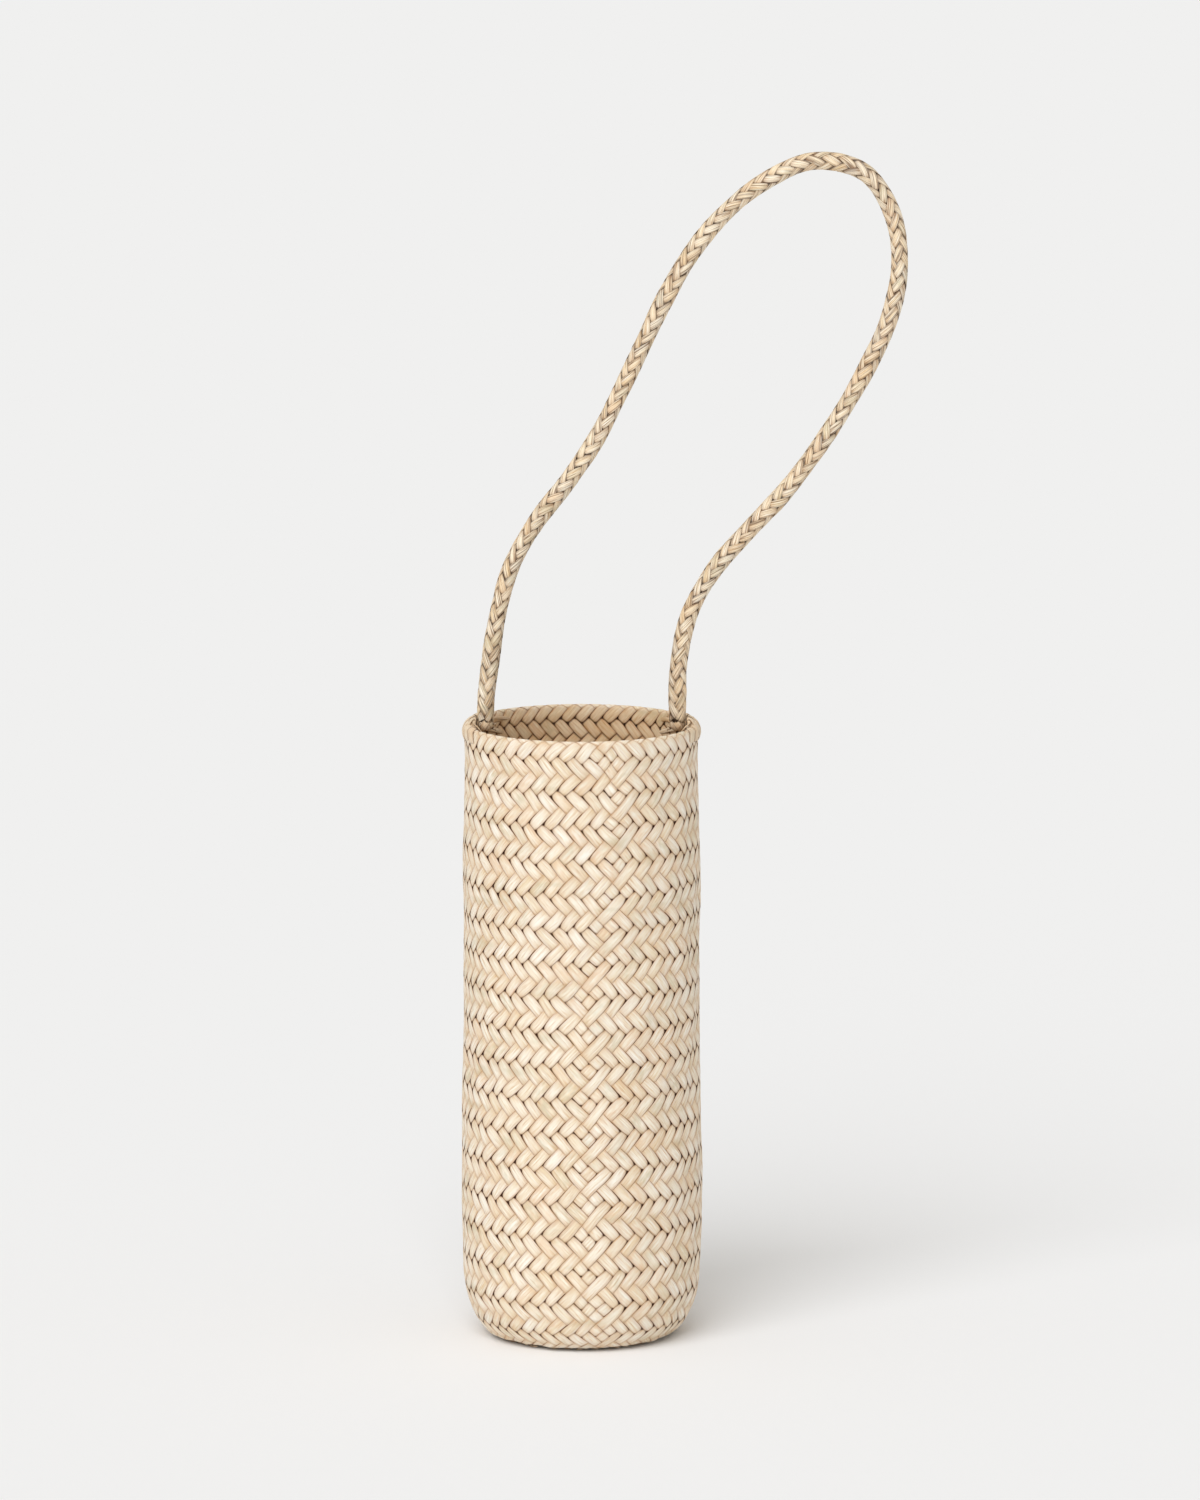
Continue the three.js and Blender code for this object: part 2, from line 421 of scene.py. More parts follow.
@dataclass
class Outline:
    """The basket's outline, from the flat base up the wall, over the lip and down inside.

    A place on it is given by its level: 4 levels are one repeat of the weave, and level 4 is the lip's top.
    The wall is given by radius and height. The fabric's middle lies inside the outline, a little less deep
    at the lip, and is tucked up under the base, where the mat meets it.
    """

    rim_height: float = 312.0
    lip_radius: float = 2.1
    lip_middle: float = 56.9
    lip_top_level: float = 4.0
    base_radius: float = 42.4
    base_overlap: float = 4.0
    heel_inset: float = 18.0
    heel_rise: float = 38.0
    wall: tuple = ((60.4, 38.0), (61.0, 78.0), (59.5, 193.4), (59.9, 243.4), (59.0, 284.0), (59.0, 308.7))
    skirt_bottom: float = 285.0
    level_rise: float = 4.295
    level_radius: float = 59.6
    fabric_depth: float = 1.1
    lip_depth: float = 0.8
    lip_start: float = 14.0
    lip_change: float = 12.0
    tuck: float = 1.3
    tuck_radius: float = 48.0
    tuck_change: float = 5.0
    tuck_level: float = -40.0
    base_samples: int = 40
    heel_samples: int = 240
    lip_samples: int = 90
    skirt_samples: int = 160
    wall_step: float = 0.4
    step: float = 0.12

    def __post_init__(self) -> None:
        """Samples the outline once."""
        line = self.outer_line()
        length = run_length(line)[-1]
        even = np.linspace(0.0, length, int(length / self.step))
        line = sample(line, even)
        slope = unit(np.gradient(line, axis=0))
        self.normal = np.column_stack([slope[:, 1], -slope[:, 0]])
        rate = self.level_radius / (self.level_rise * line[:, 0])
        levels = np.concatenate([[0.0], np.cumsum((rate[1:] + rate[:-1]) / 2 * np.diff(even))])
        self.levels = levels - levels[np.argmax(line[:, 1])] + self.lip_top_level
        lip_foot = self.rim_height - self.lip_radius - self.lip_start
        near_lip = ease((line[:, 1] - lip_foot) / self.lip_change)
        depth = self.fabric_depth + (self.lip_depth - self.fabric_depth) * near_lip
        tucked = (self.levels < self.tuck_level) * ease((self.tuck_radius - line[:, 0]) / self.tuck_change)
        self.line = line - self.normal * (depth + self.tuck * tucked)[:, None]

    def outer_line(self) -> np.ndarray:
        """The outer face's outline.

        Returns:
            Radius and height along it, one row each.
        """
        turn = np.linspace(-math.pi / 2, 0.0, self.heel_samples)
        bend = np.linspace(0.0, math.pi, self.lip_samples)
        lip_z = self.rim_height - self.lip_radius
        base = np.linspace(self.base_radius - self.base_overlap, self.base_radius, self.base_samples)
        heel_rise = self.heel_rise + self.heel_rise * np.sin(turn)
        skirt = np.linspace(lip_z, self.skirt_bottom, self.skirt_samples)
        return np.vstack(
            [
                np.column_stack([base, 0 * base])[:-1],
                np.column_stack([self.base_radius + self.heel_inset * np.cos(turn), heel_rise])[:-1],
                smooth_line(np.array(self.wall), self.wall_step)[:-1],
                np.column_stack([np.cos(bend), np.sin(bend)]) * self.lip_radius + [self.lip_middle, lip_z],
                np.column_stack([0 * skirt + self.lip_middle - self.lip_radius, skirt])[1:],
            ]
        )

    @property
    def first_level(self) -> float:
        """The lowest level, under the edge of the base."""
        return float(self.levels[0])

    @property
    def last_level(self) -> float:
        """The level at the folded-in hem's lower end."""
        return float(self.levels[-1])

    def radius(self, level: np.ndarray) -> np.ndarray:
        """Distance from the axis to the fabric's middle at each level."""
        return np.interp(level, self.levels, self.line[:, 0])

    def place(self, level: np.ndarray, angle: np.ndarray, height: np.ndarray) -> np.ndarray:
        """Points on or off the fabric.

        Args:
            level: level of each point.
            angle: angle round the basket in radians, 0 at the front, growing to the right.
            height: distance off the fabric's middle, outwards.

        Returns:
            Points in millimetres, with a last axis of 3.
        """
        r = self.radius(level) + np.interp(level, self.levels, self.normal[:, 0]) * height
        z = np.interp(level, self.levels, self.line[:, 1])
        z = z + np.interp(level, self.levels, self.normal[:, 1]) * height
        return np.stack([r * np.sin(angle), -r * np.cos(angle), z], axis=-1)


@dataclass
class Weave:
    """Over two, under two plaiting in level rows, with two seams where the rows change their lean."""

    strips: int = 48
    rise_rate: float = 4.295 / 59.6
    front_seam: float = 1.6
    back_seam: float = 28.5
    seam_columns: int = 2
    seam_wander: float = 1.6
    longest: int = 3
    lowest: int = -96
    highest: int = 24
    mends: int = 4
    wide: float = 1.0
    wide_under: float = 1.08
    pinch: float = 0.25
    pinch_power: float = 5.0
    pinch_reach: float = 0.7
    looseness: tuple = (0.3, 2.2)
    open_row: float = 1.5
    lift: float = 0.22
    crown: float = 0.12
    ramp: float = 0.19
    rows: int = 4

    def __post_init__(self) -> None:
        """Works out once which strip is on top at every crossing."""
        levels = np.arange(self.lowest, self.highest + 1)
        self.table = self.pattern(np.arange(2 * self.strips)[:, None], levels[None, :])
        for _ in range(self.mends):
            for lean in Lean:
                self.mend(lean, levels)

    @property
    def half_step(self) -> float:
        """Half of the angle between two neighbouring strips, in radians."""
        return math.pi / self.strips

    def seam(self, middle: float, level: np.ndarray) -> np.ndarray:
        """First column at each whole level of the seam that wanders about a middle column."""
        wander = waves(level, ((1.0, 13.1, middle), (0.5, 5.7, 2.1 * middle)))
        return 2 * np.rint((middle + self.seam_wander * wander) / 2)

    def pattern(self, column: np.ndarray, level: np.ndarray) -> np.ndarray:
        """The plain pattern, with strips that go over one, under one inside the seams.

        Args:
            column: column of each crossing, 96 round the basket.
            level: whole level of each crossing.

        Returns:
            True where the right-leaning strip is on top.
        """
        row = np.where(level > self.rows, 2 * self.rows - level, level)
        left_field = np.mod(row, self.rows) >= self.rows // 2
        around = np.mod(column + self.strips, 2 * self.strips) - self.strips
        front = around - self.seam(self.front_seam, level)
        back = around - self.seam(self.back_seam, level)
        right_side = (front >= self.seam_columns) & (back < 0)
        in_seam = ((front >= 0) & (front < self.seam_columns)) | ((back >= 0) & (back < self.seam_columns))
        on_top = np.where(right_side, ~left_field, left_field)
        return np.where(in_seam, np.mod(column, 2) == 1, on_top)

    def mend(self, lean: Lean, levels: np.ndarray) -> None:
        """Ties down one lean's strips where they would float over more crossings than the longest float.

        Args:
            lean: the lean of the strips.
            levels: the levels of the table.
        """
        column = np.mod(2 * np.arange(self.strips)[:, None] + lean.value * levels, 2 * self.strips)
        states = self.table[column, levels - self.lowest]
        count = states.shape[1] - self.longest
        same = np.ones((self.strips, count), bool)
        for step in range(1, self.longest + 1):
            same &= states[:, step : step + count] == states[:, :count]
        begins = same & ~np.concatenate([np.zeros((self.strips, 1), bool), same[:, :-1]], axis=1)
        begins &= levels[:count] < 0
        strip, start = np.nonzero(begins)
        self.table[column[strip, start + 1], start + 1] ^= True

    def states(self, lean: Lean, levels: np.ndarray) -> np.ndarray:
        """Whether each strip is on top at each whole level.

        Args:
            lean: the lean of the strips.
            levels: the whole levels.

        Returns:
            True where on top, as strips by levels.
        """
        column = 2 * np.arange(self.strips)[:, None] + lean.value * levels[None, :]
        on_top = self.table[np.mod(column, 2 * self.strips), levels - self.lowest]
        return on_top if lean is Lean.RIGHT else ~on_top

    def width_share(self, strips: Strips, loose: np.ndarray) -> np.ndarray:
        """Width of strips over their spacing.

        Args:
            strips: the strips.
            loose: how loosely each place is woven, about 1.

        Returns:
            The share, less where a strip comes up at an open row, so that a dark corner shows there.
        """
        whole = self.wide_under + (self.wide - self.wide_under) * (0.5 + 0.5 * strips.height)
        open_share = self.openness(strips.along) * np.clip(loose, *self.looseness)
        rising = np.clip(strips.height + 1, 0, 1)
        return whole - self.pinch * open_share * strips.near_end**self.pinch_power * rising

    def openness(self, level: np.ndarray) -> np.ndarray:
        """How open the rows are.

        Args:
            level: the levels.

        Returns:
            1 at the open rows, where dark corners show, falling to 0 at the closed ones.
        """
        row = np.where(level > self.rows, 2 * self.rows - level, level)
        away = np.mod(row - self.open_row + self.rows / 2, self.rows) - self.rows / 2
        return np.exp(-((away / self.pinch_reach) ** 2))


@dataclass
class HandWork:
    """The small unevenness that hand plaiting leaves, shared by all the strips of one fabric."""

    shift: float = 0.42
    relief: float = 0.3
    wave_count: int = 14
    climb_rate: float = 0.5
    most_turns: int = 21
    steepest: float = 1.1
    even_level: float = 3.2
    even_change: float = 1.5
    seed: int = 11

    def __post_init__(self) -> None:
        """Draws the waves once."""
        draw = np.random.default_rng(self.seed)
        shape = (len(Drift), self.wave_count)
        self.turns = draw.integers(1, self.most_turns + 1, shape)
        self.climbs = draw.uniform(-self.steepest, self.steepest, shape)
        self.phases = draw.uniform(0, 2 * math.pi, shape)

    def calm(self, level: np.ndarray) -> np.ndarray:
        """1 on the wall, falling to 0 towards the rim, where the fold keeps the weave even."""
        return ease((self.even_level - level) / self.even_change)

    def wander(self, drift: Drift, level: np.ndarray, angle: np.ndarray) -> np.ndarray:
        """One wavy field over the fabric, from about -1 to 1.

        Args:
            drift: what the field changes.
            level: level of each place.
            angle: angle of each place round the basket, in radians.

        Returns:
            The field at each place.
        """
        total = 0.0
        for turn, climb, phase in zip(self.turns[drift], self.climbs[drift], self.phases[drift]):
            total = total + np.sin(turn * angle + climb * level * self.climb_rate + phase)
        return total / math.sqrt(self.wave_count)


@dataclass
class Fabric:
    """The plaited fabric of the wall and the rim: its surface, its pattern and the unevenness of the hand.

    Pairs of numbers are the limits of scattered values. Past its level the inside gets more painted shade,
    and is looser and thicker.
    """

    outline: Outline = field(default_factory=Outline)
    weave: Weave = field(default_factory=Weave)
    hand: HandWork = field(default_factory=HandWork)
    inside_level: float = 4.6
    left_numbers: int = 100
    strip_rate: float = 1.36
    own_tone: float = 0.65
    loose: float = 0.85
    loose_waves: float = 0.45
    loose_sides: float = 1.2
    loose_inside: float = 0.55
    loose_change: float = 0.6
    widths: tuple = (0.975, 1.025)
    shifts: tuple = (-0.03, 0.03)
    crowns: tuple = (0.75, 1.25)
    tilts: tuple = (-0.08, 0.08)
    # Limits of the random strength of the painted shade in the gaps.
    wear: tuple = (0.6, 1.0)
    inside_lift: float = 0.7
    lip_flattening: float = 0.2
    lip_reach: float = 1.2
    # Painted shade: how much the gaps get at the closed and the open rows, at the corners and under the
    # crossing strips, and where it starts inside.
    closed_shade: float = 0.25
    open_shade: float = 1.5
    corner_from: float = 0.45
    corner_power: float = 8.0
    corner_drop_inside: float = 5.0
    buried_below: float = 0.15
    buried_more_inside: float = 0.7
    buried_change: float = 0.5
    inside_change: float = 0.4
    inside_shade_start: float = 0.3
    inside_shade_change: float = 1.1

    @property
    def slant(self) -> float:
        """Length of a strip over the radius, for one level."""
        return math.hypot(self.weave.rise_rate, self.weave.half_step)

    def lay(
        self,
        piece: StrawPiece,
        section: StrawSection,
        lean: Lean,
        chosen: np.ndarray,
        reach: tuple[float, float],
        marks: tuple,
    ) -> None:
        """Lays some strips of one lean over one stretch of the outline.

        Args:
            piece: the mesh that gets the strips.
            section: the strips' cross section.
            lean: the way they lean.
            chosen: numbers of the strips, from 0.
            reach: first and last level.
            marks: places of the rings inside each level.
        """
        first = math.floor(self.outline.first_level) - 3
        whole = np.arange(first, math.ceil(self.outline.last_level) + 4)
        number = chosen + (0 if lean is Lean.RIGHT else self.left_numbers)
        states = self.weave.states(lean, whole)[chosen]
        along = ring_levels(reach, marks)
        strips = Strips(section, number, along, states, first, self.weave.ramp, self.own_tone)
        turn = 2 * self.weave.half_step * (chosen[:, None, None] + lean.value * strips.along / 2)
        offset = self.offset(strips, turn)
        scale = self.outline.radius(strips.along) * self.slant
        level = strips.along - lean.value * self.weave.half_step / (self.weave.rise_rate * scale) * offset
        points = self.surface(strips, level, turn + self.weave.rise_rate / scale * offset)
        run = strips.along * self.outline.level_rise * self.strip_rate
        piece.add(points, grain_place(offset, run, strips.number), strips.look(), self.dark(strips))

    def offset(self, strips: Strips, turn: np.ndarray) -> np.ndarray:
        """Distance of each point from its strip's middle line, in the fabric.

        Args:
            strips: the strips.
            turn: angle of each strip's middle at each ring.

        Returns:
            The distances.
        """
        loose = self.loose + self.loose_waves * self.hand.wander(Drift.LOOSENESS, strips.along, turn)
        loose = loose + self.loose_sides * np.sin(turn) ** 2
        loose = loose + self.loose_inside * ease((strips.along - self.inside_level) / self.loose_change)
        radius = self.outline.radius(strips.along)
        spacing = 2 * radius * self.weave.half_step * self.weave.rise_rate / self.slant
        width = spacing * self.weave.width_share(strips, loose) * strips.vary(self.widths, Trait.WIDTH)
        return 0.5 * width * (strips.section.across() + strips.vary(self.shifts, Trait.SHIFT))

    def surface(self, strips: Strips, level: np.ndarray, angle: np.ndarray) -> np.ndarray:
        """Points of the strips, lifted over and under each other and moved by the hand's unevenness.

        Args:
            strips: the strips.
            level: level of each point.
            angle: angle of each point.

        Returns:
            Points in millimetres, on a last axis of 3.
        """
        outline, hand = self.outline, self.hand
        lifted = self.weave.lift * strips.height
        lifted = lifted + self.weave.crown * strips.crown * strips.vary(self.crowns, Trait.CROWN)
        lifted = lifted + strips.vary(self.tilts, Trait.TILT) * strips.section.across()
        lifted = (lifted + strips.section.height()) * outline.radius(strips.along) / outline.level_radius
        lifted = lifted * (1 + self.inside_lift * ease((level - self.inside_level) / self.lip_reach))
        on_lip = np.exp(-(((level - outline.lip_top_level) / self.lip_reach) ** 2))
        lifted = lifted * (1 - self.lip_flattening * on_lip)
        lifted = lifted + hand.relief * hand.wander(Drift.RELIEF, level, angle) * hand.calm(level)
        turned = hand.shift * hand.wander(Drift.ROUND, level, angle) / outline.level_radius
        moved = hand.shift * hand.wander(Drift.UP, level, angle) * hand.calm(level)
        moved = moved / (self.weave.rise_rate * outline.level_radius)
        level = np.clip(level + moved, outline.first_level, outline.last_level)
        return outline.place(level, angle + turned, lifted)

    def dark(self, strips: Strips) -> np.ndarray:
        """Where the strips get brown edges, and painted shade under others, at open corners and inside.

        Args:
            strips: the strips.

        Returns:
            Nearness to the edge, painted shade where buried or at a corner, and painted shade inside, on a
            last axis of 3.
        """
        across, side, along = strips.section.across(), strips.section.side(), strips.along
        # Painted shade in the gaps: light at the closed rows, strong at the open rows and inside, of a
        # random strength for each float.
        opened = self.open_shade * self.weave.openness(along) + (along > self.inside_level)
        gap_shade_share = np.clip(opened, 0, 1) * strips.vary(self.wear, Trait.WEAR)
        gap = self.closed_shade + (1 - self.closed_shade) * gap_shade_share
        indoors = ease((along - self.inside_level) / self.inside_change)
        below = self.buried_below + self.buried_more_inside * indoors
        # Painted shade on faces that lie under the crossing strips.
        buried = gap * ease((below - side * strips.height) / self.buried_change)
        power = self.corner_power - self.corner_drop_inside * indoors
        # Painted shade at the corners of the floats at the open rows.
        corner = gap * (np.abs(across) ** power * strips.near_end**4) * (gap > self.corner_from)
        # Painted shade on the faces that look into the basket, darker and warmer than outside.
        past_lip = along - self.outline.lip_top_level
        inside_shade_face = (past_lip >= 0) * ease((past_lip - self.inside_shade_start) / self.inside_shade_change)
        inner = np.where(side < 0, past_lip < 0, inside_shade_face)
        return shades(across, np.maximum(buried, corner), inner)


@dataclass
class WovenBody:
    """The plaited wall from the edge of the base up to where the strips turn over at the rim.

    The handover is the highest level at which the rim's piece takes a strip over.
    """

    fabric: Fabric
    section: StrawSection = straw()
    marks: tuple = (0.0, 0.28, 0.4, 0.5, 0.6, 0.72)
    parts: int = 3
    handover: int = 2
    handover_levels: int = 5
    # A sheet of painted shade between the two leans: its top level, its rings up and round, and its
    # thickness.
    shade_sheet_top: float = 2.6
    shade_sheet_levels: int = 120
    shade_sheet_turns: int = 193
    shade_sheet_thickness: float = 0.05

    def rim_level(self, lean: Lean) -> np.ndarray:
        """Level at which each strip lies hidden under another, and the rim's piece takes over.

        Args:
            lean: the lean of the strips.

        Returns:
            The levels, one for each strip.
        """
        levels = self.handover - np.arange(self.handover_levels)
        return levels[np.argmax(~self.fabric.weave.states(lean, levels), axis=1)]

    def build(self) -> list[bpy.types.Object]:
        """Makes the wall's strips as a few pieces, and the sheet of painted shade between them.

        Returns:
            The pieces, which replace the plain wall.
        """
        made = []
        numbers = np.arange(self.fabric.weave.strips)
        for lean in Lean:
            tops = self.rim_level(lean)
            for part in range(self.parts):
                piece = StrawPiece(f"wall_strips_{lean.name.lower()}_{part + 1}")
                own = numbers[numbers * self.parts // len(numbers) == part]
                for top in np.unique(tops[own]):
                    reach = (self.fabric.outline.first_level, float(top))
                    self.fabric.lay(piece, self.section, lean, own[tops[own] == top], reach, self.marks)
                made.append(piece.build())
        return [*made, self.shade_sheet()]

    def shade_sheet(self) -> bpy.types.Object:
        """Makes a sheet of painted shade that lies between the two leans and shows dark in the gaps.

        Returns:
            The piece, a closed thin shell in the middle of the fabric.
        """
        outline, hand = self.fabric.outline, self.fabric.hand
        levels = np.linspace(outline.first_level + 0.5, self.shade_sheet_top, self.shade_sheet_levels)
        levels = np.concatenate([levels, levels[::-1]])
        height = np.repeat([0.5, -0.5], self.shade_sheet_levels) * self.shade_sheet_thickness
        angle = np.linspace(-math.pi, math.pi, self.shade_sheet_turns)[:, None]
        relief = hand.relief * hand.wander(Drift.RELIEF, levels, angle) * hand.calm(levels)
        points = outline.place(levels + 0 * angle, angle + 0 * levels, height + relief)[None]
        piece = StrawPiece("weave_painted_shade")
        # Painted shade: the whole sheet takes the dark gap colour.
        piece.add(points, points, np.array([0.5, 0.5, 0.5]), np.array([0.0, 1.0, 0.0]))
        return piece.build()


@dataclass
class FoldedRim:
    """The strips' upper ends, folded over the lip and woven back down inside."""

    body: WovenBody
    section: StrawSection = straw(top_points=9, under_points=2)
    marks: tuple = (0.0, 0.12, 0.24, 0.33, 0.42, 0.5, 0.58, 0.67, 0.76, 0.88)
    hem: float = 10.6

    def build(self) -> bpy.types.Object:
        """Makes the rim's strips as one piece.

        Returns:
            The piece, which replaces the plain lip and skirt.
        """
        piece = StrawPiece("rim_fold")
        for lean in Lean:
            starts = self.body.rim_level(lean)
            for start in np.unique(starts):
                chosen = np.nonzero(starts == start)[0]
                reach = (float(start), self.hem)
                self.body.fabric.lay(piece, self.section, lean, chosen, reach, self.marks)
        return piece.build()


@dataclass
class BaseMat:
    """The flat plaited bottom, seen from below and deep inside."""

    radius: float = 44.0
    spacing: float = 4.9
    turn: float = 41.0
    middle: float = 1.25
    lift: float = 0.38
    shortest: float = 7.0
    step: float = 1.1
    first_number: int = 300
    width: float = 0.94
    width_change: float = 0.04
    taper_length: float = 3.0
    tip: float = 0.15
    family_numbers: int = 60
    section: StrawSection = straw(arch=0.12, thickness=0.3, top_points=5)

    def build(self) -> bpy.types.Object:
        """Makes the crossed strips, each as long as the round base lets it be.

        Returns:
            The piece.
        """
        piece = StrawPiece("base_mat")
        most = int(self.radius / self.spacing) + 1
        for family in (0, 1):
            for number in range(-most, most + 1):
                side = (number + 0.5) * self.spacing
                half = math.sqrt(max(0.0, self.radius**2 - side**2))
                if half >= self.shortest:
                    self.lay(piece, family, number, side, half)
        return piece.build()

    def lay(self, piece: StrawPiece, family: int, number: int, side: float, half: float) -> None:
        """Lays one strip of the mat.

        Args:
            piece: the mesh that gets it.
            family: 0 or 1, the direction it runs in.
            number: its number, counted from the middle.
            side: its distance from the middle.
            half: half of its length.
        """
        along = np.linspace(-half, half, int(2 * half / self.step) + 2)
        cell = np.floor(along / self.spacing)
        crossing = np.floor(along / self.spacing - 0.5)
        before, after = self.over(family, number, crossing), self.over(family, number, crossing + 1)
        part = along / self.spacing - 0.5 - crossing
        height = before + (after - before) * ease((part - 0.25) / 0.5)
        across = self.section.across()
        share = self.width + self.width_change * scatter(number, family, Trait.MAT_WIDTH)
        width = 0.5 * self.spacing * share
        taper = np.clip((half - np.abs(along)) / self.taper_length + self.tip, self.tip, 1.0) ** 0.5
        u = along[:, None] + 0 * across[None, :]
        v = side + width * taper[:, None] * across[None, :]
        drop = self.lift * height[:, None] + self.section.height()[None, :]
        x, y = (u, v) if family == 0 else (v, u)
        cos, sin = math.cos(math.radians(self.turn)), math.sin(math.radians(self.turn))
        points = np.stack([x * cos - y * sin, x * sin + y * cos, self.middle - drop], axis=-1)[None]
        strip = number + self.family_numbers * family + self.first_number
        shade = 0.6 * scatter(strip, np.floor(cell / 2)) + 0.4 * scatter(strip, Trait.STRIP_TONE)
        # Painted shade where the strip dives under its crossing strip, towards the shade colour and the dark
        # gap colour.
        near_end = np.clip(1.0 - np.abs(height) * 1.3, 0, 1)
        look = np.stack([shade, near_end, scatter(strip, cell)], axis=-1)[None, :, None, :]
        dark = shades(across, near_end[None, :, None] ** 4, 0.0)
        piece.add(points, grain_place(v - side, u, strip)[None], look, dark)

    @staticmethod
    def over(family: int, number: int, cell: np.ndarray) -> np.ndarray:
        """1 where the strip is below its crossing, as seen from under the mat, and -1 where above."""
        diagonal = np.mod(cell - number if family == 0 else number - cell, 4)
        return np.where((diagonal < 2) == (family == 0), 1.0, -1.0)


@dataclass
class RopeHandle:
    """The round braid of flat strands in one long loop that stands up and leans to the right.

    The route is the rope's middle, by its place to the right and its height over the pivot. The braid ends a
    little above each pivot, where the knot that it turns on starts, and its foot is drawn in there. Swells
    and turns are waves of its thickness and of its spin. Pairs of numbers are limits of scattered values.
    """

    pivot_height: float = 311.0
    diameter: float = 8.6
    strands: int = 6
    first_number: int = 400
    left_numbers: int = 420
    level_rise: float = 3.9
    pattern_start: float = 4.2
    lift: float = 0.1
    crown: float = 0.08
    outer_layer: float = 0.2
    width_share: float = 1.07
    own_tone: float = 0.6
    core: float = 3.78
    core_sides: int = 10
    core_step: float = 3.0
    foot: float = 2.2
    foot_draw: float = 0.035
    foot_reach: float = 9.0
    cup: float = 4.4
    cup_turns: tuple = (0.05, 0.35, 0.7, 0.96)
    ramp: float = 0.26
    marks: tuple = (0.0, 0.3, 0.44, 0.56, 0.7)
    pinch: float = 0.42
    widths: tuple = (0.94, 1.06)
    shifts: tuple = (-0.15, 0.15)
    crowns: tuple = (0.85, 1.3)
    tilts: tuple = (-0.1, 0.1)
    # Limits of the random strength of the strands' painted shade in the gaps, and where it starts under
    # others.
    gaps: tuple = (0.15, 1.0)
    buried_below: float = -0.02
    buried_change: float = 0.5
    # How wide the strands' brown edges are, a brown that is partly painted shade in the creases.
    edges: tuple = (0.86, 1.0)
    edge_power: float = 0.6
    swells: tuple = ((0.035, 17.0, 0.0), (0.03, 6.3, 2.0))
    turn_first: float = 3.0
    turn_back: float = 36.0
    turn_length: float = 680.0
    turns: tuple = ((12.0, 31.0, 0.0), (10.0, 12.7, 1.3), (5.0, 4.9, 0.4))
    section: StrawSection = straw(arch=0.0, thickness=0.22, under_points=2)
    route: tuple = (
        (-48.0, 0.0), (-47.6, 14.0), (-45.8, 29.0), (-41.9, 54.5), (-35.0, 79.5), (-22.5, 102.0),
        (-6.8, 122.5), (7.5, 144.0), (19.2, 167.0), (30.3, 190.5), (41.5, 214.0), (54.5, 236.5),
        (71.0, 256.5), (91.0, 272.5), (115.0, 282.5), (140.0, 277.0), (154.0, 256.5), (157.8, 231.0),
        (153.3, 205.5), (143.2, 182.0), (130.5, 159.0), (116.5, 137.5), (101.0, 117.0), (83.5, 98.0),
        (66.6, 78.5), (54.0, 56.0), (48.6, 31.0), (47.9, 14.0), (48.0, 0.0),
    )

    def __post_init__(self) -> None:
        """Works out the rope's middle line, and the braid's size at its strands."""
        flat = smooth_line(np.array(self.route), 1.0)
        self.line = np.column_stack([flat[:, 0], np.zeros(len(flat)), flat[:, 1] + self.pivot_height])
        self.run = run_length(self.line)
        self.length = float(self.run[-1])
        self.middle = self.diameter / 2 - self.lift - self.section.arch - self.section.thickness / 2
        self.outer = self.middle + self.outer_layer
        self.half_step = math.pi / self.strands
        self.half_circle = self.half_step * self.outer
        self.slant = math.hypot(self.half_circle, self.level_rise)

    def place(self, run: np.ndarray, angle: np.ndarray, radius: np.ndarray) -> np.ndarray:
        """Points round the rope.

        Args:
            run: distance along the rope's middle, below 0 and past its end on straight ends.
            angle: angle round it, 0 at the front.
            radius: distance from its middle.

        Returns:
            Points in millimetres, with a last axis of 3.
        """
        slope = unit(np.gradient(self.line, axis=0))
        x, z = (np.interp(run, self.run, self.line[:, axis]) for axis in (0, 2))
        along_x, along_z = (np.interp(run, self.run, slope[:, axis]) for axis in (0, 2))
        beyond = run - np.clip(run, 0, self.length)
        side = radius * np.sin(angle)
        return np.stack(
            [
                x + along_x * beyond + along_z * side,
                -radius * np.cos(angle),
                z + along_z * beyond - along_x * side,
            ],
            axis=-1,
        )

    def build(self) -> bpy.types.Object:
        """Makes the braid round a plain core, which is painted dark as shade.

        Returns:
            The rope.
        """
        piece = StrawPiece("rope_braid")
        for lean in Lean:
            self.braid(piece, lean)
        self.add_core(piece)
        rope = piece.build()
        self.declare(rope)
        return rope

    def braid(self, piece: StrawPiece, lean: Lean) -> None:
        """Adds the strands of one lean.

        Args:
            piece: the rope's mesh.
            lean: the way they lean.
        """
        levels = (self.length + 2 * self.pattern_start) / self.level_rise
        first = (self.pattern_start + self.foot) / self.level_rise
        whole = np.arange(-3, int(levels) + 5)
        order = np.arange(self.strands)
        column = np.mod(2 * order[:, None] + lean.value * whole, 4)
        states = (column < 2) if lean is Lean.RIGHT else (column >= 2)
        number = order + (self.first_number if lean is Lean.RIGHT else self.left_numbers)
        along = ring_levels((first, levels - first), self.marks)
        strips = Strips(self.section, number, along, states, int(whole[0]), self.ramp, self.own_tone)
        offset = self.offset(strips)
        angle = 2 * self.half_step * (order[:, None, None] + lean.value * strips.along / 2)
        angle = angle + offset * self.level_rise / self.slant / self.outer
        reach = strips.along * self.level_rise - self.pattern_start
        reach = reach - lean.value * offset * self.half_circle / self.slant
        degrees = self.turn_first - self.turn_back * ease(reach / self.turn_length)
        angle = angle + np.radians(degrees + waves(reach, self.turns))
        points = self.place(reach, angle, self.radius(strips, reach))
        place = grain_place(offset, strips.along * self.slant, strips.number)
        piece.add(points, place, strips.look(), self.dark(strips))

